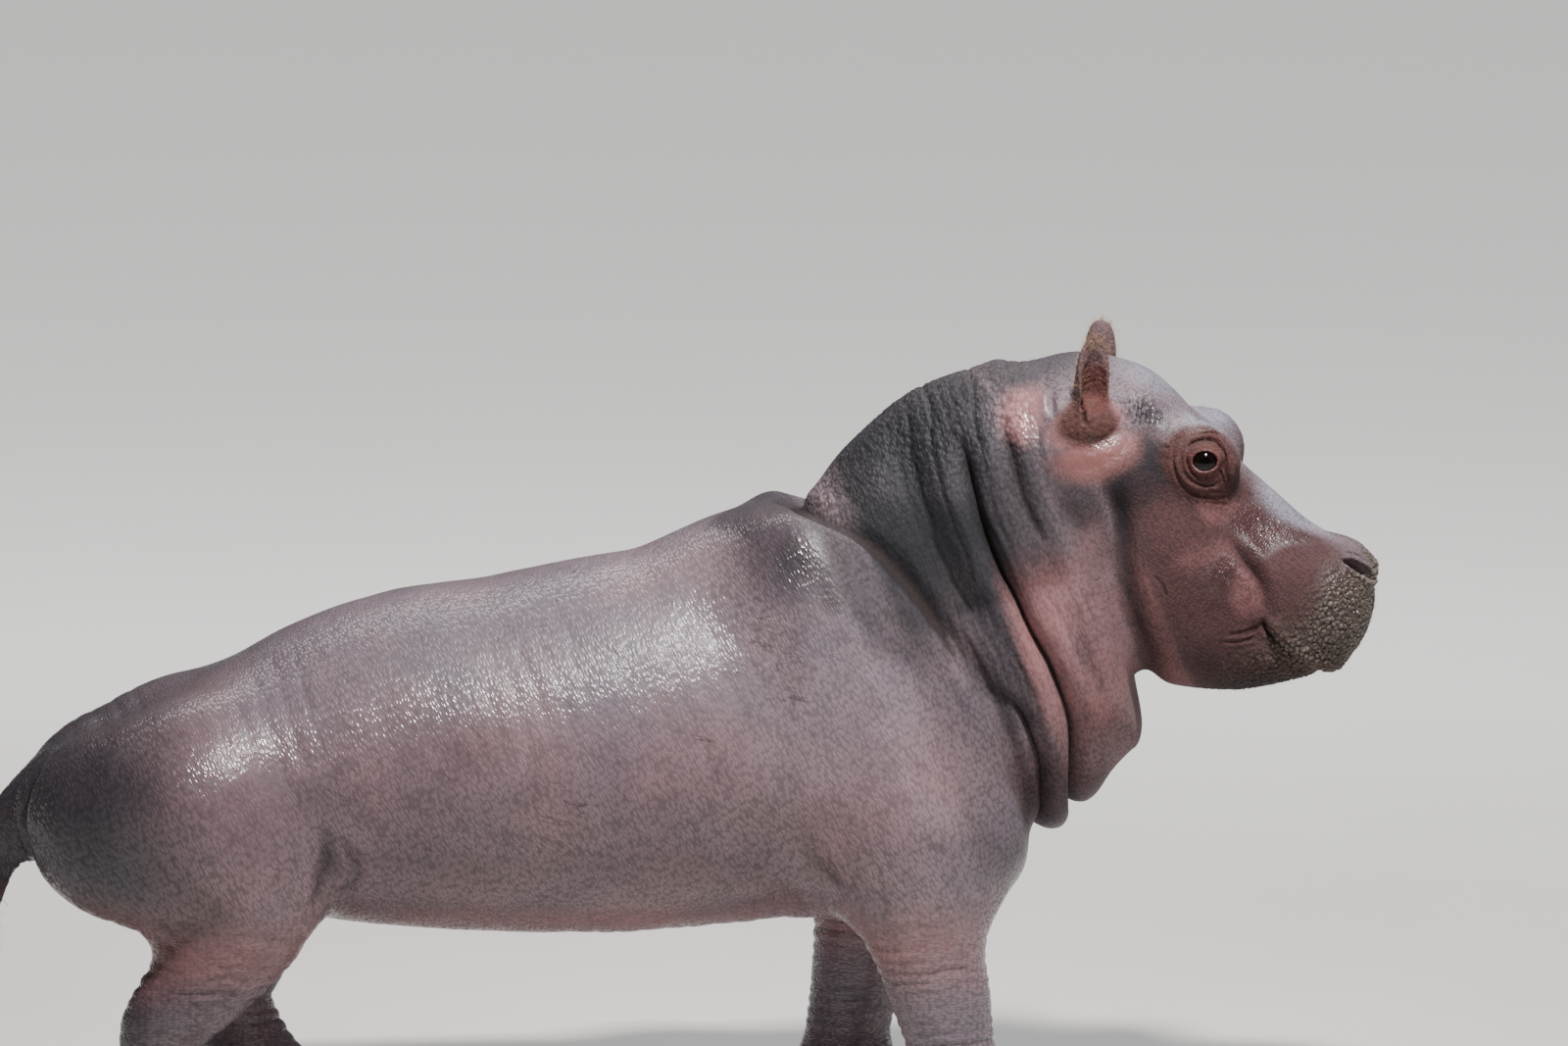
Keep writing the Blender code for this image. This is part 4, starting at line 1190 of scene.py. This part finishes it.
    nape_pebbles = band(along, 0.33, 0.53, 0.05) * (0.35 * steps(up, 0.36, 0.46) + 0.65 * steps(up, 0.46, 0.54))
    # Depth of each point below its surroundings: the hide material darkens the hollows with painted shade and makes
    # the rises a little lighter.
    creases = np.clip(skin.hollows(6) / 0.0012, -1, 1) + np.clip(skin.hollows(30) / 0.006, -1, 1)
    skin.marks = {
        "face": face,
        "slate_and_shade": np.clip(slate_and_shade * (0.82 + 0.26 * patch), 0, 1),
        "blush": np.clip(blush, 0, 1),
        "pale": pale * (0.8 + 0.25 * patch),
        "rust": np.clip(rust, 0, 1),
        "raw": np.clip(raw, 0, 1),
        "studs": skin.nodules * (1 - 0.7 * spot(left, *BARE_CHIN_SPOT)),
        "wet": np.clip(wet, 0, 1),
        "pebbly": most(nape_pebbles, 0.8 * spot(left, *EAR_FRONT_SPOT)),
        "calm": most(0.55 * blush, 0.7 * on_neck * (1 - steps(up, 0.46, 0.54))),
        "crease": 0.5 * creases,
        "on_neck": band(along, 0.36, 0.54, 0.06),
        "on_head": steps(along, 0.53, 0.60),
        "on_leg": (1 - steps(z, 0.17, 0.26)) * (1 - steps(along, 0.33, 0.42)),
    }


def store(skin):
    """Writes the marks and the straight pose onto the mesh for the material to read."""
    for name, values in {"straight": skin.points, **skin.marks}.items():
        place_on(skin.obj.data, name, values)


# ---------------------------------------------------------------- materials
class Wiring:
    """Short words for wiring the nodes of one material."""

    def __init__(self, name):
        self.material = bpy.data.materials.new(name)
        self.material.use_nodes = True
        self.tree = self.material.node_tree
        self.shader = self.tree.nodes["Principled BSDF"]

    def put(self, socket, value):
        if isinstance(value, bpy.types.NodeSocket):
            self.tree.links.new(value, socket)
        elif value is not None:
            if socket.type == "RGBA" and len(value) == 3:
                value = (*value, 1)
            socket.default_value = value

    def node(self, kind, inputs=(), **settings):
        made = self.tree.nodes.new("ShaderNode" + kind)
        for key, value in settings.items():
            setattr(made, key, value)
        for key, value in dict(inputs).items():
            self.put(made.inputs[key], value)
        return made

    def math(self, operation, a, b=None):
        return self.node("Math", {0: a, 1: b}, operation=operation).outputs[0]

    def times(self, *values):
        product = values[0]
        for value in values[1:]:
            product = self.math("MULTIPLY", product, value)
        return product

    def span(self, value, low, high, to_low=0.0, to_high=1.0):
        """Carries a value's range smoothly to another, and holds it at the ends."""
        inputs = {"Value": value, "From Min": low, "From Max": high, "To Min": to_low, "To Max": to_high}
        return self.node("MapRange", inputs, interpolation_type="SMOOTHSTEP").outputs[0]

    def mix(self, share, a, b, how="MIX"):
        made = self.node("Mix", data_type="RGBA", blend_type=how)
        for socket, value in zip((made.inputs[0], made.inputs[6], made.inputs[7]), (share, a, b), strict=True):
            self.put(socket, value)
        return made.outputs[2]

    def blend(self, share, a, b):
        made = self.node("Mix", data_type="FLOAT")
        for socket, value in zip(made.inputs[:1] + made.inputs[2:4], (share, a, b), strict=True):
            self.put(socket, value)
        return made.outputs[0]

    def value(self, name, output="Fac"):
        return self.node("Attribute", attribute_name=name).outputs[output]

    def drawn(self, vector, stretch, tilt=0.0):
        """Draws a pattern out along its own axes, which lean back by tilt in side view."""
        inputs = {"Vector": vector, "Scale": stretch, "Rotation": (0, -tilt, 0)}
        return self.node("Mapping", inputs, vector_type="TEXTURE").outputs[0]

    def noise(self, vector, scale, detail=2.0, roughness=0.5, output="Fac"):
        inputs = {"Vector": vector, "Scale": scale, "Detail": detail, "Roughness": roughness}
        return self.node("TexNoise", inputs).outputs[output]

    def cells(self, vector, scale, randomness=1.0):
        """Distance from the middle of scattered cells."""
        inputs = {"Vector": vector, "Scale": scale, "Randomness": randomness}
        return self.node("TexVoronoi", inputs).outputs["Distance"]

    def swayed(self, vector, scale, reach):
        """The vector, shifted about a little by noise."""
        swirl = self.noise(vector, scale, 1.0, output="Color")
        centred = self.node("VectorMath", {0: swirl, 1: (0.5, 0.5, 0.5)}, operation="SUBTRACT").outputs[0]
        shift = self.node("VectorMath", {0: centred, "Scale": reach}, operation="SCALE").outputs[0]
        return self.node("VectorMath", {0: vector, 1: shift}, operation="ADD").outputs[0]

    def bumps(self, *layers):
        """Bumps laid one over another, each a height, a strength and a distance."""
        normal = None
        for layer in layers:
            inputs = zip(("Height", "Strength", "Distance", "Normal"), (*layer, normal), strict=True)
            normal = self.node("Bump", inputs).outputs[0]
        return normal

    def finish(self, colour, roughness, normal=None, **constants):
        constants |= {"base_color": colour, "roughness": roughness, "normal": normal}
        for name, value in constants.items():
            self.put(self.shader.inputs[name.replace("_", " ").title().replace("Ior", "IOR")], value)
        return self.material


HIDE, HIDE_PINK = (0.148, 0.119, 0.144), (0.194, 0.139, 0.154)
# Painted shade at the bottom of deep hollows.
HOLLOW_SHADE = (0.020, 0.009, 0.009)
# Colours laid over the hide one after another.
LAYERS = {
    "face": (0.056, 0.022, 0.023),
    # Slate grey, which also carries painted shade.
    "slate_and_shade": (0.0110, 0.0100, 0.0140),
    "blush": (0.250, 0.108, 0.106),
    # Pale bluish grey, partly a painted reflection of the sky.
    "pale": (0.270, 0.262, 0.320),
    "rust": (0.066, 0.021, 0.018),
    "studs": (0.067, 0.049, 0.040),
    "grit": (0.190, 0.158, 0.130),
    "raw": (0.088, 0.025, 0.022),
}
HATCH = 350.0  # cells to the metre, across the lie of the wrinkles
PLATES = 95.0
PEBBLES = 220.0
TRUNK_TILT = math.radians(28)
SCRATCH_TILT = math.radians(-9)


def hide_material():
    """Bare, finely cross-wrinkled hide, damp in places."""
    w = Wiring("hide")
    place = w.value("straight", "Vector")
    swayed = w.swayed(place, 34.0, 0.005)
    # Lozenge cells, drawn out round the body, round the legs, round the neck and evenly on the head.
    trunk_way = w.drawn(swayed, (1.0, 2.4, 2.4), TRUNK_TILT)
    ways = (
        (w.value("on_leg"), w.drawn(swayed, (1.9, 1.9, 1.0)), 1.0),
        (w.value("on_neck"), w.drawn(swayed, (1.0, 1.9, 1.9), NECK_PITCH), 0.92),
        (w.value("on_head"), w.drawn(swayed, (1.0, 1.3, 1.35), HEAD_PITCH), 1.1),
    )

    def lozenges(scale, randomness):
        found = w.cells(trunk_way, scale, randomness)
        for share, way, finer in ways:
            found = w.blend(share, found, w.cells(way, scale * finer, randomness))
        return found

    fine, coarse = lozenges(HATCH, 0.65), lozenges(PLATES, 1.0)
    pebbles = w.cells(w.drawn(swayed, (1.0, 1.25, 1.25), NECK_PITCH), PEBBLES, 0.9)
    grit = w.noise(place, 1500.0)
    ripples = w.noise(w.drawn(place, (1.0, 1.5, 1.5), TRUNK_TILT), 160.0, 2.0, 0.55)
    mottle = w.noise(place, 24.0, 2.0, 0.55)
    blotch = w.noise(place, 9.0, 3.0)
    scratch = w.noise(w.drawn(place, (7.0, 3.0, 1.0), SCRATCH_TILT), 62.0, 2.0, 0.45)
    scratch = w.span(w.math("ABSOLUTE", w.math("SUBTRACT", scratch, 0.5)), 0.0, 0.010, 1.0, 0.0)
    scratch = w.times(scratch, w.span(w.noise(place, 11.0), 0.54, 0.62))
    crease, pebbly = w.value("crease"), w.value("pebbly")

    shares = {name: w.value(name) for name in LAYERS if name != "grit"}
    shares["grit"] = w.times(shares["studs"], w.span(crease, -0.45, -0.05, 0.6, 0.0))
    shares["studs"] = w.times(shares["studs"], 0.85)
    colour = w.mix(w.span(blotch, 0.35, 0.68), HIDE, HIDE_PINK)
    for name, layer in LAYERS.items():
        colour = w.mix(shares[name], colour, layer)
    gaps = w.times(w.span(fine, 0.32, 0.76), w.span(shares["blush"], 0.0, 1.0, 0.46, 0.24))
    tone = w.times(
        w.span(mottle, 0.25, 0.75, 0.92, 1.08),
        w.math("SUBTRACT", 1.06, gaps),
        w.blend(pebbly, 1.0, w.span(pebbles, 0.35, 0.72, 1.12, 0.60)),
        w.span(coarse, 0.45, 0.85, 1.01, 0.96),
        # Painted shade in the hollows, and a little lighter on the rises.
        w.span(scratch, 0.0, 1.0, 1.0, 0.62),
        w.span(crease, 0.0, 0.9, 1.0, 0.34),
        w.span(crease, -0.7, 0.0, 1.15, 1.0),
    )
    colour = w.mix(1.0, colour, w.node("CombineColor", {0: tone, 1: tone, 2: tone}).outputs[0], "MULTIPLY")
    # Deep hollows darkened further with painted shade.
    colour = w.mix(w.span(crease, 0.35, 1.0, 0.0, 0.6), colour, HOLLOW_SHADE)

    rough = w.span(w.value("wet"), 0.0, 1.0, 0.93, 0.17)
    rough = w.math("MAXIMUM", rough, w.span(fine, 0.40, 0.65, 0.0, 0.50))
    rough = w.math("ADD", rough, w.span(w.noise(place, 420.0, 1.0), 0.3, 0.7, -0.03, 0.06))

    smooth = w.math("SUBTRACT", 1.0, w.value("calm"))
    normal = w.bumps(
        (grit, 0.15, 0.0003),
        (w.times(w.span(fine, 0.62, 0.05), smooth), 1.0, 0.00036),
        (w.times(ripples, smooth), 1.0, 0.0008),
        (w.span(coarse, 0.80, 0.35), 0.6, 0.0003),
        (w.times(w.span(pebbles, 0.75, 0.10), pebbly), 1.0, 0.0005),
    )
    return w.finish(colour, rough, normal, specular_ior_level=0.42)


def eye_material():
    """A dark wet eye: brown iris, a wide black pupil lying level, a reddish white at its edge."""
    w = Wiring("eyeball")
    ring = w.value("ring")
    fibres = w.noise(w.drawn(w.value("polar", "Vector"), (0.04, 0.33, 1.0)), 1.0, 3.0)
    iris = w.mix(fibres, (0.002, 0.0012, 0.001), (0.007, 0.0032, 0.002))
    colour = w.mix(w.span(w.value("level"), 0.30, 0.38), (0.001, 0.001, 0.001), iris)
    colour = w.mix(w.span(ring, 0.60, 0.70), colour, (0.006, 0.004, 0.003))
    colour = w.mix(w.span(ring, 0.74, 0.84), colour, (0.09, 0.030, 0.024))
    return w.finish(colour, w.span(fibres, 0.3, 0.7, 0.05, 0.08), specular_ior_level=0.35)


def nail_material():
    """Dull dark horn with lengthwise streaks, paler and worn at the free edge."""
    w = Wiring("horn")
    place = w.value("straight", "Vector")
    streaks = w.noise(w.drawn(place, (1.0, 1.0, 6.0)), 900.0, 3.0)
    worn = w.noise(place, 300.0, 4.0, 0.7)
    colour = w.mix(w.span(streaks, 0.3, 0.7), (0.045, 0.034, 0.030), (0.095, 0.072, 0.060))
    colour = w.mix(w.span(w.value("edge"), 0.3, 1.0, 0.0, 0.7), colour, (0.190, 0.150, 0.125))
    return w.finish(colour, w.span(worn, 0.3, 0.7, 0.38, 0.58), w.bumps((worn, 0.3, 0.0003), (streaks, 0.5, 0.0004)))


def bristle_material(name, root, tip):
    w = Wiring(name)
    strand = w.value("strand")
    colour = w.mix(w.value("along"), root, tip)
    colour = w.mix(w.span(strand, 0.0, 1.0, 0.0, 0.45), colour, [0.6 * c for c in root])
    return w.finish(colour, w.span(strand, 0.0, 1.0, 0.32, 0.5))


# ---------------------------------------------------------------- eyes, nails and bristles
def place_on(mesh, name, values):
    """Writes one value or one vector for each point onto a mesh."""
    kind, field = ("FLOAT", "value") if np.ndim(values) == 1 else ("FLOAT_VECTOR", "vector")
    made = mesh.attributes.new(name, kind, "POINT")
    made.data.foreach_set(field, np.asarray(values, np.float32).ravel())


def make_eyeball(name, side):
    """An eyeball with a cornea that stands a little proud of it."""
    outward, forward, above = eye_frame()
    bm = bmesh.new()
    bmesh.ops.create_icosphere(bm, subdivisions=5, radius=1)
    eye = new_object(name, bm)
    unit = get_points(eye.data)
    ring = np.arccos(np.clip(unit[:, 2], -1, 1)) / (math.pi / 2)
    bulge = 0.0011 * (1 - steps(ring, 0.30, 0.62))
    reach = (EYE_RADIUS - 0.0004 + bulge)[:, None] * unit
    place_on(eye.data, "ring", ring)
    place_on(eye.data, "level", np.hypot(unit[:, 0], unit[:, 1] / 0.62))
    place_on(eye.data, "polar", np.stack([np.arctan2(unit[:, 1], unit[:, 0]), ring, 0 * ring], axis=1))
    set_points(eye.data, (reach @ np.array([forward, above, outward]) + EYE_CENTRE) * (1, side, 1))
    if side < 0:
        eye.data.flip_normals()
    return eye


TOE_REACH = 0.057  # of the nails from the middle of the foot
NAIL_SIZE = (0.0085, 0.0115, 0.0115)


def make_nails(name, foot_x, side):
    """Four blunt nails of one foot: rounded shields, curved to the toe, with a thicker free edge."""
    bm = bmesh.new()
    edge, place = bm.verts.layers.float.new("edge"), bm.verts.layers.float_vector.new("straight")
    for degrees in TOE_ANGLES:
        angle = math.radians(degrees)
        centre = Vector((foot_x + TOE_REACH * math.cos(angle), side * (FOOT_Y + TOE_REACH * math.sin(angle)), 0.0135))
        turn = Matrix.Rotation(side * angle, 4, "Z")
        for vert in bmesh.ops.create_uvsphere(bm, u_segments=32, v_segments=24, radius=1)["verts"]:
            forward, across, up = vert.co
            vert[edge] = max(0.0, min(1.0, 0.4 - 1.3 * up)) * max(0.0, forward)
            flare = 1 + 0.10 * max(0.0, -up)
            ridge = 1 + 0.025 * math.cos(9 * across)
            local = Vector(NAIL_SIZE) * Vector((forward * flare * ridge, across * flare, up))
            local.z = max(local.z, -0.0105)
            local.x += 0.0015 * (0.3 - up)
            vert.co = centre + turn @ local
            vert[place] = vert.co
    return new_object(name, bm)


SIDES, RINGS = 3, 4  # of one bristle
STRAND = RINGS * SIDES + 1  # its points, with the tip last
LEVELS = [ring * SIDES for ring in range(RINGS)]
TURNS = [(k, (k + 1) % SIDES) for k in range(SIDES)]
STRAND_FACES = [(low + a, low + b, low + b + SIDES, low + a + SIDES) for low in LEVELS[:-1] for a, b in TURNS]
STRAND_FACES += [(LEVELS[-1] + a, LEVELS[-1] + b, STRAND - 1) for a, b in TURNS]
STRAND_FACES += [tuple(reversed(range(SIDES)))]


def grow(name, roots, directions, lengths, thickness, material, seed):
    """Bristles as thin tapered prisms, each a small patch on the OFBake map where it is rooted."""
    count = len(roots)
    rng = np.random.default_rng(seed)
    directions = directions / np.linalg.norm(directions, axis=1)[:, None]
    helper = np.where(np.abs(directions[:, 2:3]) < 0.8, (0.0, 0.0, 1.0), (1.0, 0.0, 0.0))
    across = np.cross(directions, helper)
    across /= np.linalg.norm(across, axis=1)[:, None]
    third = np.cross(directions, across)
    lean = 0.25 * rng.normal(size=(count, 2))
    bow = lean[:, :1] * across + lean[:, 1:] * third

    # Every strand's points at once: how far up it each lies, and its bearing round it.
    t = (np.arange(STRAND) // SIDES / RINGS)[:, None]
    bearing = 2 * math.pi * (np.arange(STRAND) % SIDES)[:, None] / SIDES
    wide = thickness * (1 - 0.75 * t) * (t < 1)
    ring = np.cos(bearing) * across[:, None] + np.sin(bearing) * third[:, None]
    rise = t * directions[:, None] + t * t * bow[:, None]
    spots = roots[:, None] + lengths[:, None, None] * rise + wide * ring
    faces = [tuple(n * STRAND + v for v in face) for n in range(count) for face in STRAND_FACES]
    mesh = bpy.data.meshes.new(name)
    mesh.from_pydata(spots.reshape(-1, 3).tolist(), [], faces)
    place_on(mesh, "along", np.tile(t.ravel(), count))
    place_on(mesh, "strand", np.repeat(rng.random(count), STRAND))
    mesh.materials.append(material)

    # The map unrolls the body, along it and round it, with a patch of three thousandths for each bristle.
    around = np.arctan2(roots[:, 1], roots[:, 2] - 0.40) / (2 * math.pi) + 0.5
    patch = np.stack([(roots[:, 0] + 0.75) / 1.5, around], axis=1)
    fan = 0.0015 * (1 - t) * np.hstack([np.cos(bearing), np.sin(bearing)])
    corners = np.empty(len(mesh.loops), np.int32)
    mesh.loops.foreach_get("vertex_index", corners)
    places = patch[corners // STRAND] + fan[corners % STRAND]
    mesh.uv_layers.new(name="OFBake").data.foreach_set("uv", places.astype(np.float32).ravel())
    return new_object(name, mesh)


def pick(weight, count, seed):
    """Roots chosen at random where the weight is high."""
    share = weight + 1e-12
    rng = np.random.default_rng(seed)
    return rng.choice(len(share), size=count, replace=False, p=share / share.sum())


def make_bristles(skin):
    """Golden hairs on the ear rims, down on ears and crown, stubble on the muzzle, and the tail's brush."""
    rng = np.random.default_rng(7)
    gold = bristle_material("golden_bristle", (0.30, 0.17, 0.07), (0.62, 0.42, 0.20))
    sandy = bristle_material("sandy_bristle", (0.16, 0.12, 0.09), (0.42, 0.35, 0.28))
    dark = bristle_material("dark_bristle", (0.035, 0.025, 0.020), (0.16, 0.11, 0.07))
    p, n = skin.points, skin.normals

    def sow(name, material, weight, count, seed, sunk, outwards, lie, stray, lengths, thick):
        """Sunk, lengths and thick are in millimetres; each bristle leans from the normal towards lie."""
        chosen = pick(weight, count, seed)
        lie = lie * np.where(p[chosen, 1:2] < 0, (1, -1, 1), 1)
        lean = outwards * n[chosen] + lie + stray * rng.normal(size=(count, 3))
        roots = p[chosen] - MM * sunk * n[chosen]
        return grow(name, roots, lean, MM * rng.uniform(*lengths, count), MM * thick, material, seed + 1)

    local = (on_left(p) - EAR_CENTRE) @ axes(math.radians(EAR_PITCH), math.radians(EAR_YAW)).T
    shell = np.abs(blunt_egg(local, EAR_RADII))
    lip = local[:, 0] + EAR_SLANT * local[:, 2] - EAR_LIP
    rim = (shell < 0.004) * bell(lip, 0.0022) * steps(local[:, 2], -0.030, 0.0)
    rim *= 0.35 + 0.65 * steps(local[:, 2], 0.015, 0.040)
    back = (shell < 0.003) * steps(local[:, 2], -0.02, 0.01) * (lip < -0.004)
    muzzle = skin.nodules**2 * (1 - spot(p, (653.5, 48, 544), (20, 12, 14), 0.3))
    tail = (p[:, 0] < -0.655) * (1 - steps(p[:, 2], 0.165, 0.235)) * (np.abs(p[:, 1]) < 0.04)
    tail = tail * (0.1 + np.abs(n[:, 0]) ** 2)
    crown = band(neck_frame(p)[0], 0.42, 0.72, 0.06) * steps(n[:, 2], 0.2, 0.7) * steps(p[:, 2], 0.60, 0.66)
    crown = np.maximum(crown, 4.0 * spot(p, (394.5, 85, 690), (40, 36, 32), 0.4))
    return [
        sow("ear_bristles", gold, rim, 520, 71, 0.5, 1.0, (0, 0.16, 0.8), 0.35, (5, 12), 0.13),
        sow("ear_down", gold, back, 500, 73, 0.4, 0.6, (-0.2, 0, 1.0), 0.3, (3, 7), 0.10),
        sow("muzzle_bristles", sandy, muzzle, 1500, 75, 0.4, 1.0, (0.35, 0, -0.35), 0.35, (2, 6), 0.14),
        sow("tail_bristles", dark, tail, 220, 77, 0.5, 0.7, (-0.1, 0, -0.9), 0.2, (8, 24), 0.20),
        sow("crown_down", sandy, crown, 1400, 79, 0.4, 0.8, (-0.7, 0, 0.2), 0.25, (3, 7), 0.09),
    ]


def set_in_place(obj):
    """From the straight pose to where the frame has the calf."""
    eye = turn_neck(np.array([EYE_CENTRE]))[0]
    low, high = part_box("eye_left")
    shift = eye - (np.array(low) + np.array(high)) / 2
    set_points(obj.data, turn_neck(get_points(obj.data)) - shift)


# ---------------------------------------------------------------- studio
FLOOR_REACH = 60.0
# Lamps: place and target from the middle of the view, width, depth, power, colour, and spread in degrees.
LAMPS = {
    "key": ((0.50, -1.60, 2.65), (0, 0.1, -0.1), 0.36, 0.36, 64, (1.0, 0.98, 0.95), 100),
    "top": ((0.7, -0.1, 2.2), (0.35, 0, 0), 0.9, 0.9, 30, (0.92, 0.96, 1.0), 180),
    "backdrop": ((0, 1.8, 2.6), (0, 3.4, 0), 3.0, 1.0, 95, (1.0, 1.0, 1.0), 180),
}


def make_stage():
    """A wide pale floor, which glows a little far from the calf so that it ends up pale behind it too."""
    bm = bmesh.new()
    corners = ((-1, -1), (1, -1), (1, 1), (-1, 1))
    bm.faces.new([bm.verts.new((FLOOR_REACH * x, FLOOR_REACH * y, 0)) for x, y in corners])
    stage = new_object("studio_floor", bm)
    w = Wiring("paper")
    place = w.node("TexCoord").outputs["Object"]
    away = w.node("VectorMath", {0: place}, operation="LENGTH").outputs["Value"]
    grain = w.noise(place, 3.0, 4.0)
    colour = w.mix(grain, (0.66, 0.64, 0.62), (0.70, 0.68, 0.66))
    glow = w.span(away, 0.9, 3.4, 0.0, 0.66)
    rough = w.span(grain, 0.2, 0.8, 0.75, 0.85)
    stage.data.materials.append(w.finish(colour, rough, emission_color=(0.98, 0.97, 0.95), emission_strength=glow))


def light_studio(middle):
    for name, (place, target, width, depth, power, colour, spread) in LAMPS.items():
        light = bpy.data.lights.new(name, "AREA")
        light.shape, light.size, light.size_y = "RECTANGLE", width, depth
        light.spread = math.radians(spread)
        light.energy, light.color = power, colour
        lamp = bpy.data.objects.new(name, light)
        facing = (Vector(place) - Vector(target)).to_track_quat("Z", "Y").to_matrix().to_4x4()
        lamp.matrix_world = Matrix.Translation(middle + Vector(place)) @ facing
        lamp.visible_camera = False
        bpy.context.scene.collection.objects.link(lamp)
    world = bpy.data.worlds.new("studio")
    world.use_nodes = True
    background = world.node_tree.nodes["Background"]
    background.inputs["Color"].default_value = (0.88, 0.90, 0.94, 1)
    background.inputs["Strength"].default_value = 0.09
    bpy.context.scene.world = world


def place_camera(middle):
    """Level with the calf's shoulder, from its right side."""
    azimuth, elevation = math.radians(CAMERA_AZIMUTH), math.radians(CAMERA_ELEVATION)
    level = math.cos(elevation)
    back = Vector((level * math.sin(azimuth), -level * math.cos(azimuth), math.sin(elevation)))
    right = Vector((math.cos(azimuth), math.sin(azimuth), 0))
    camera = bpy.data.cameras.new("camera")
    camera.lens, camera.sensor_width = CAMERA_LENS, SENSOR_WIDTH
    spot = bpy.data.objects.new("camera", camera)
    distance = FRAME_WIDTH * CAMERA_LENS / SENSOR_WIDTH
    turn = Matrix((right, back.cross(right), back)).transposed().to_4x4()
    spot.matrix_world = Matrix.Translation(middle + back * distance) @ turn
    bpy.context.scene.collection.objects.link(spot)
    bpy.context.scene.camera = spot


def make_skin():
    body = plain_skin()
    points = get_points(body.data)
    points[:, 2] = np.clip(points[:, 2], 0, None)  # the soles stand flat on the floor
    set_points(body.data, points)
    skin = shape(body)
    mark(skin)
    store(skin)
    body.data.materials.clear()
    body.data.materials.append(hide_material())
    return skin


def dress(piece, nodes):
    set_in_place(piece)
    piece.data.shade_smooth()
    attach(piece, "root")
    if nodes:
        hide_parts(*nodes)


def main():
    low, high = (Vector(corner) for corner in CAD_BOX)
    middle = (low + high) / 2 + Vector(AIM_OFFSET)
    place_camera(middle)
    light_studio(middle)
    make_stage()

    skin = make_skin()
    bristles = make_bristles(skin)
    flesh = ["trunk", "neck", "head", "jaw", "tail", "ear_left", "ear_right"]
    flesh += [f"leg_{place}_{side}" for place in ("front", "hind") for side in SIDE]
    dress(skin.obj, flesh)
    for piece in bristles:
        dress(piece, ())
    eyes, horn = eye_material(), nail_material()
    for name, side in SIDE.items():
        eye = make_eyeball(f"eyeball_{name}", side)
        eye.data.materials.append(eyes)
        dress(eye, [f"eye_{name}"])
        for place, feet in (("front", FORELEG_FEET), ("hind", HINDLEG_FEET)):
            nails = make_nails(f"nails_{place}_{name}", feet[name], side)
            nails.data.materials.append(horn)
            dress(nails, [f"nail_{place}_{name}_{k}" for k in (1, 2, 3, 4)])


main()
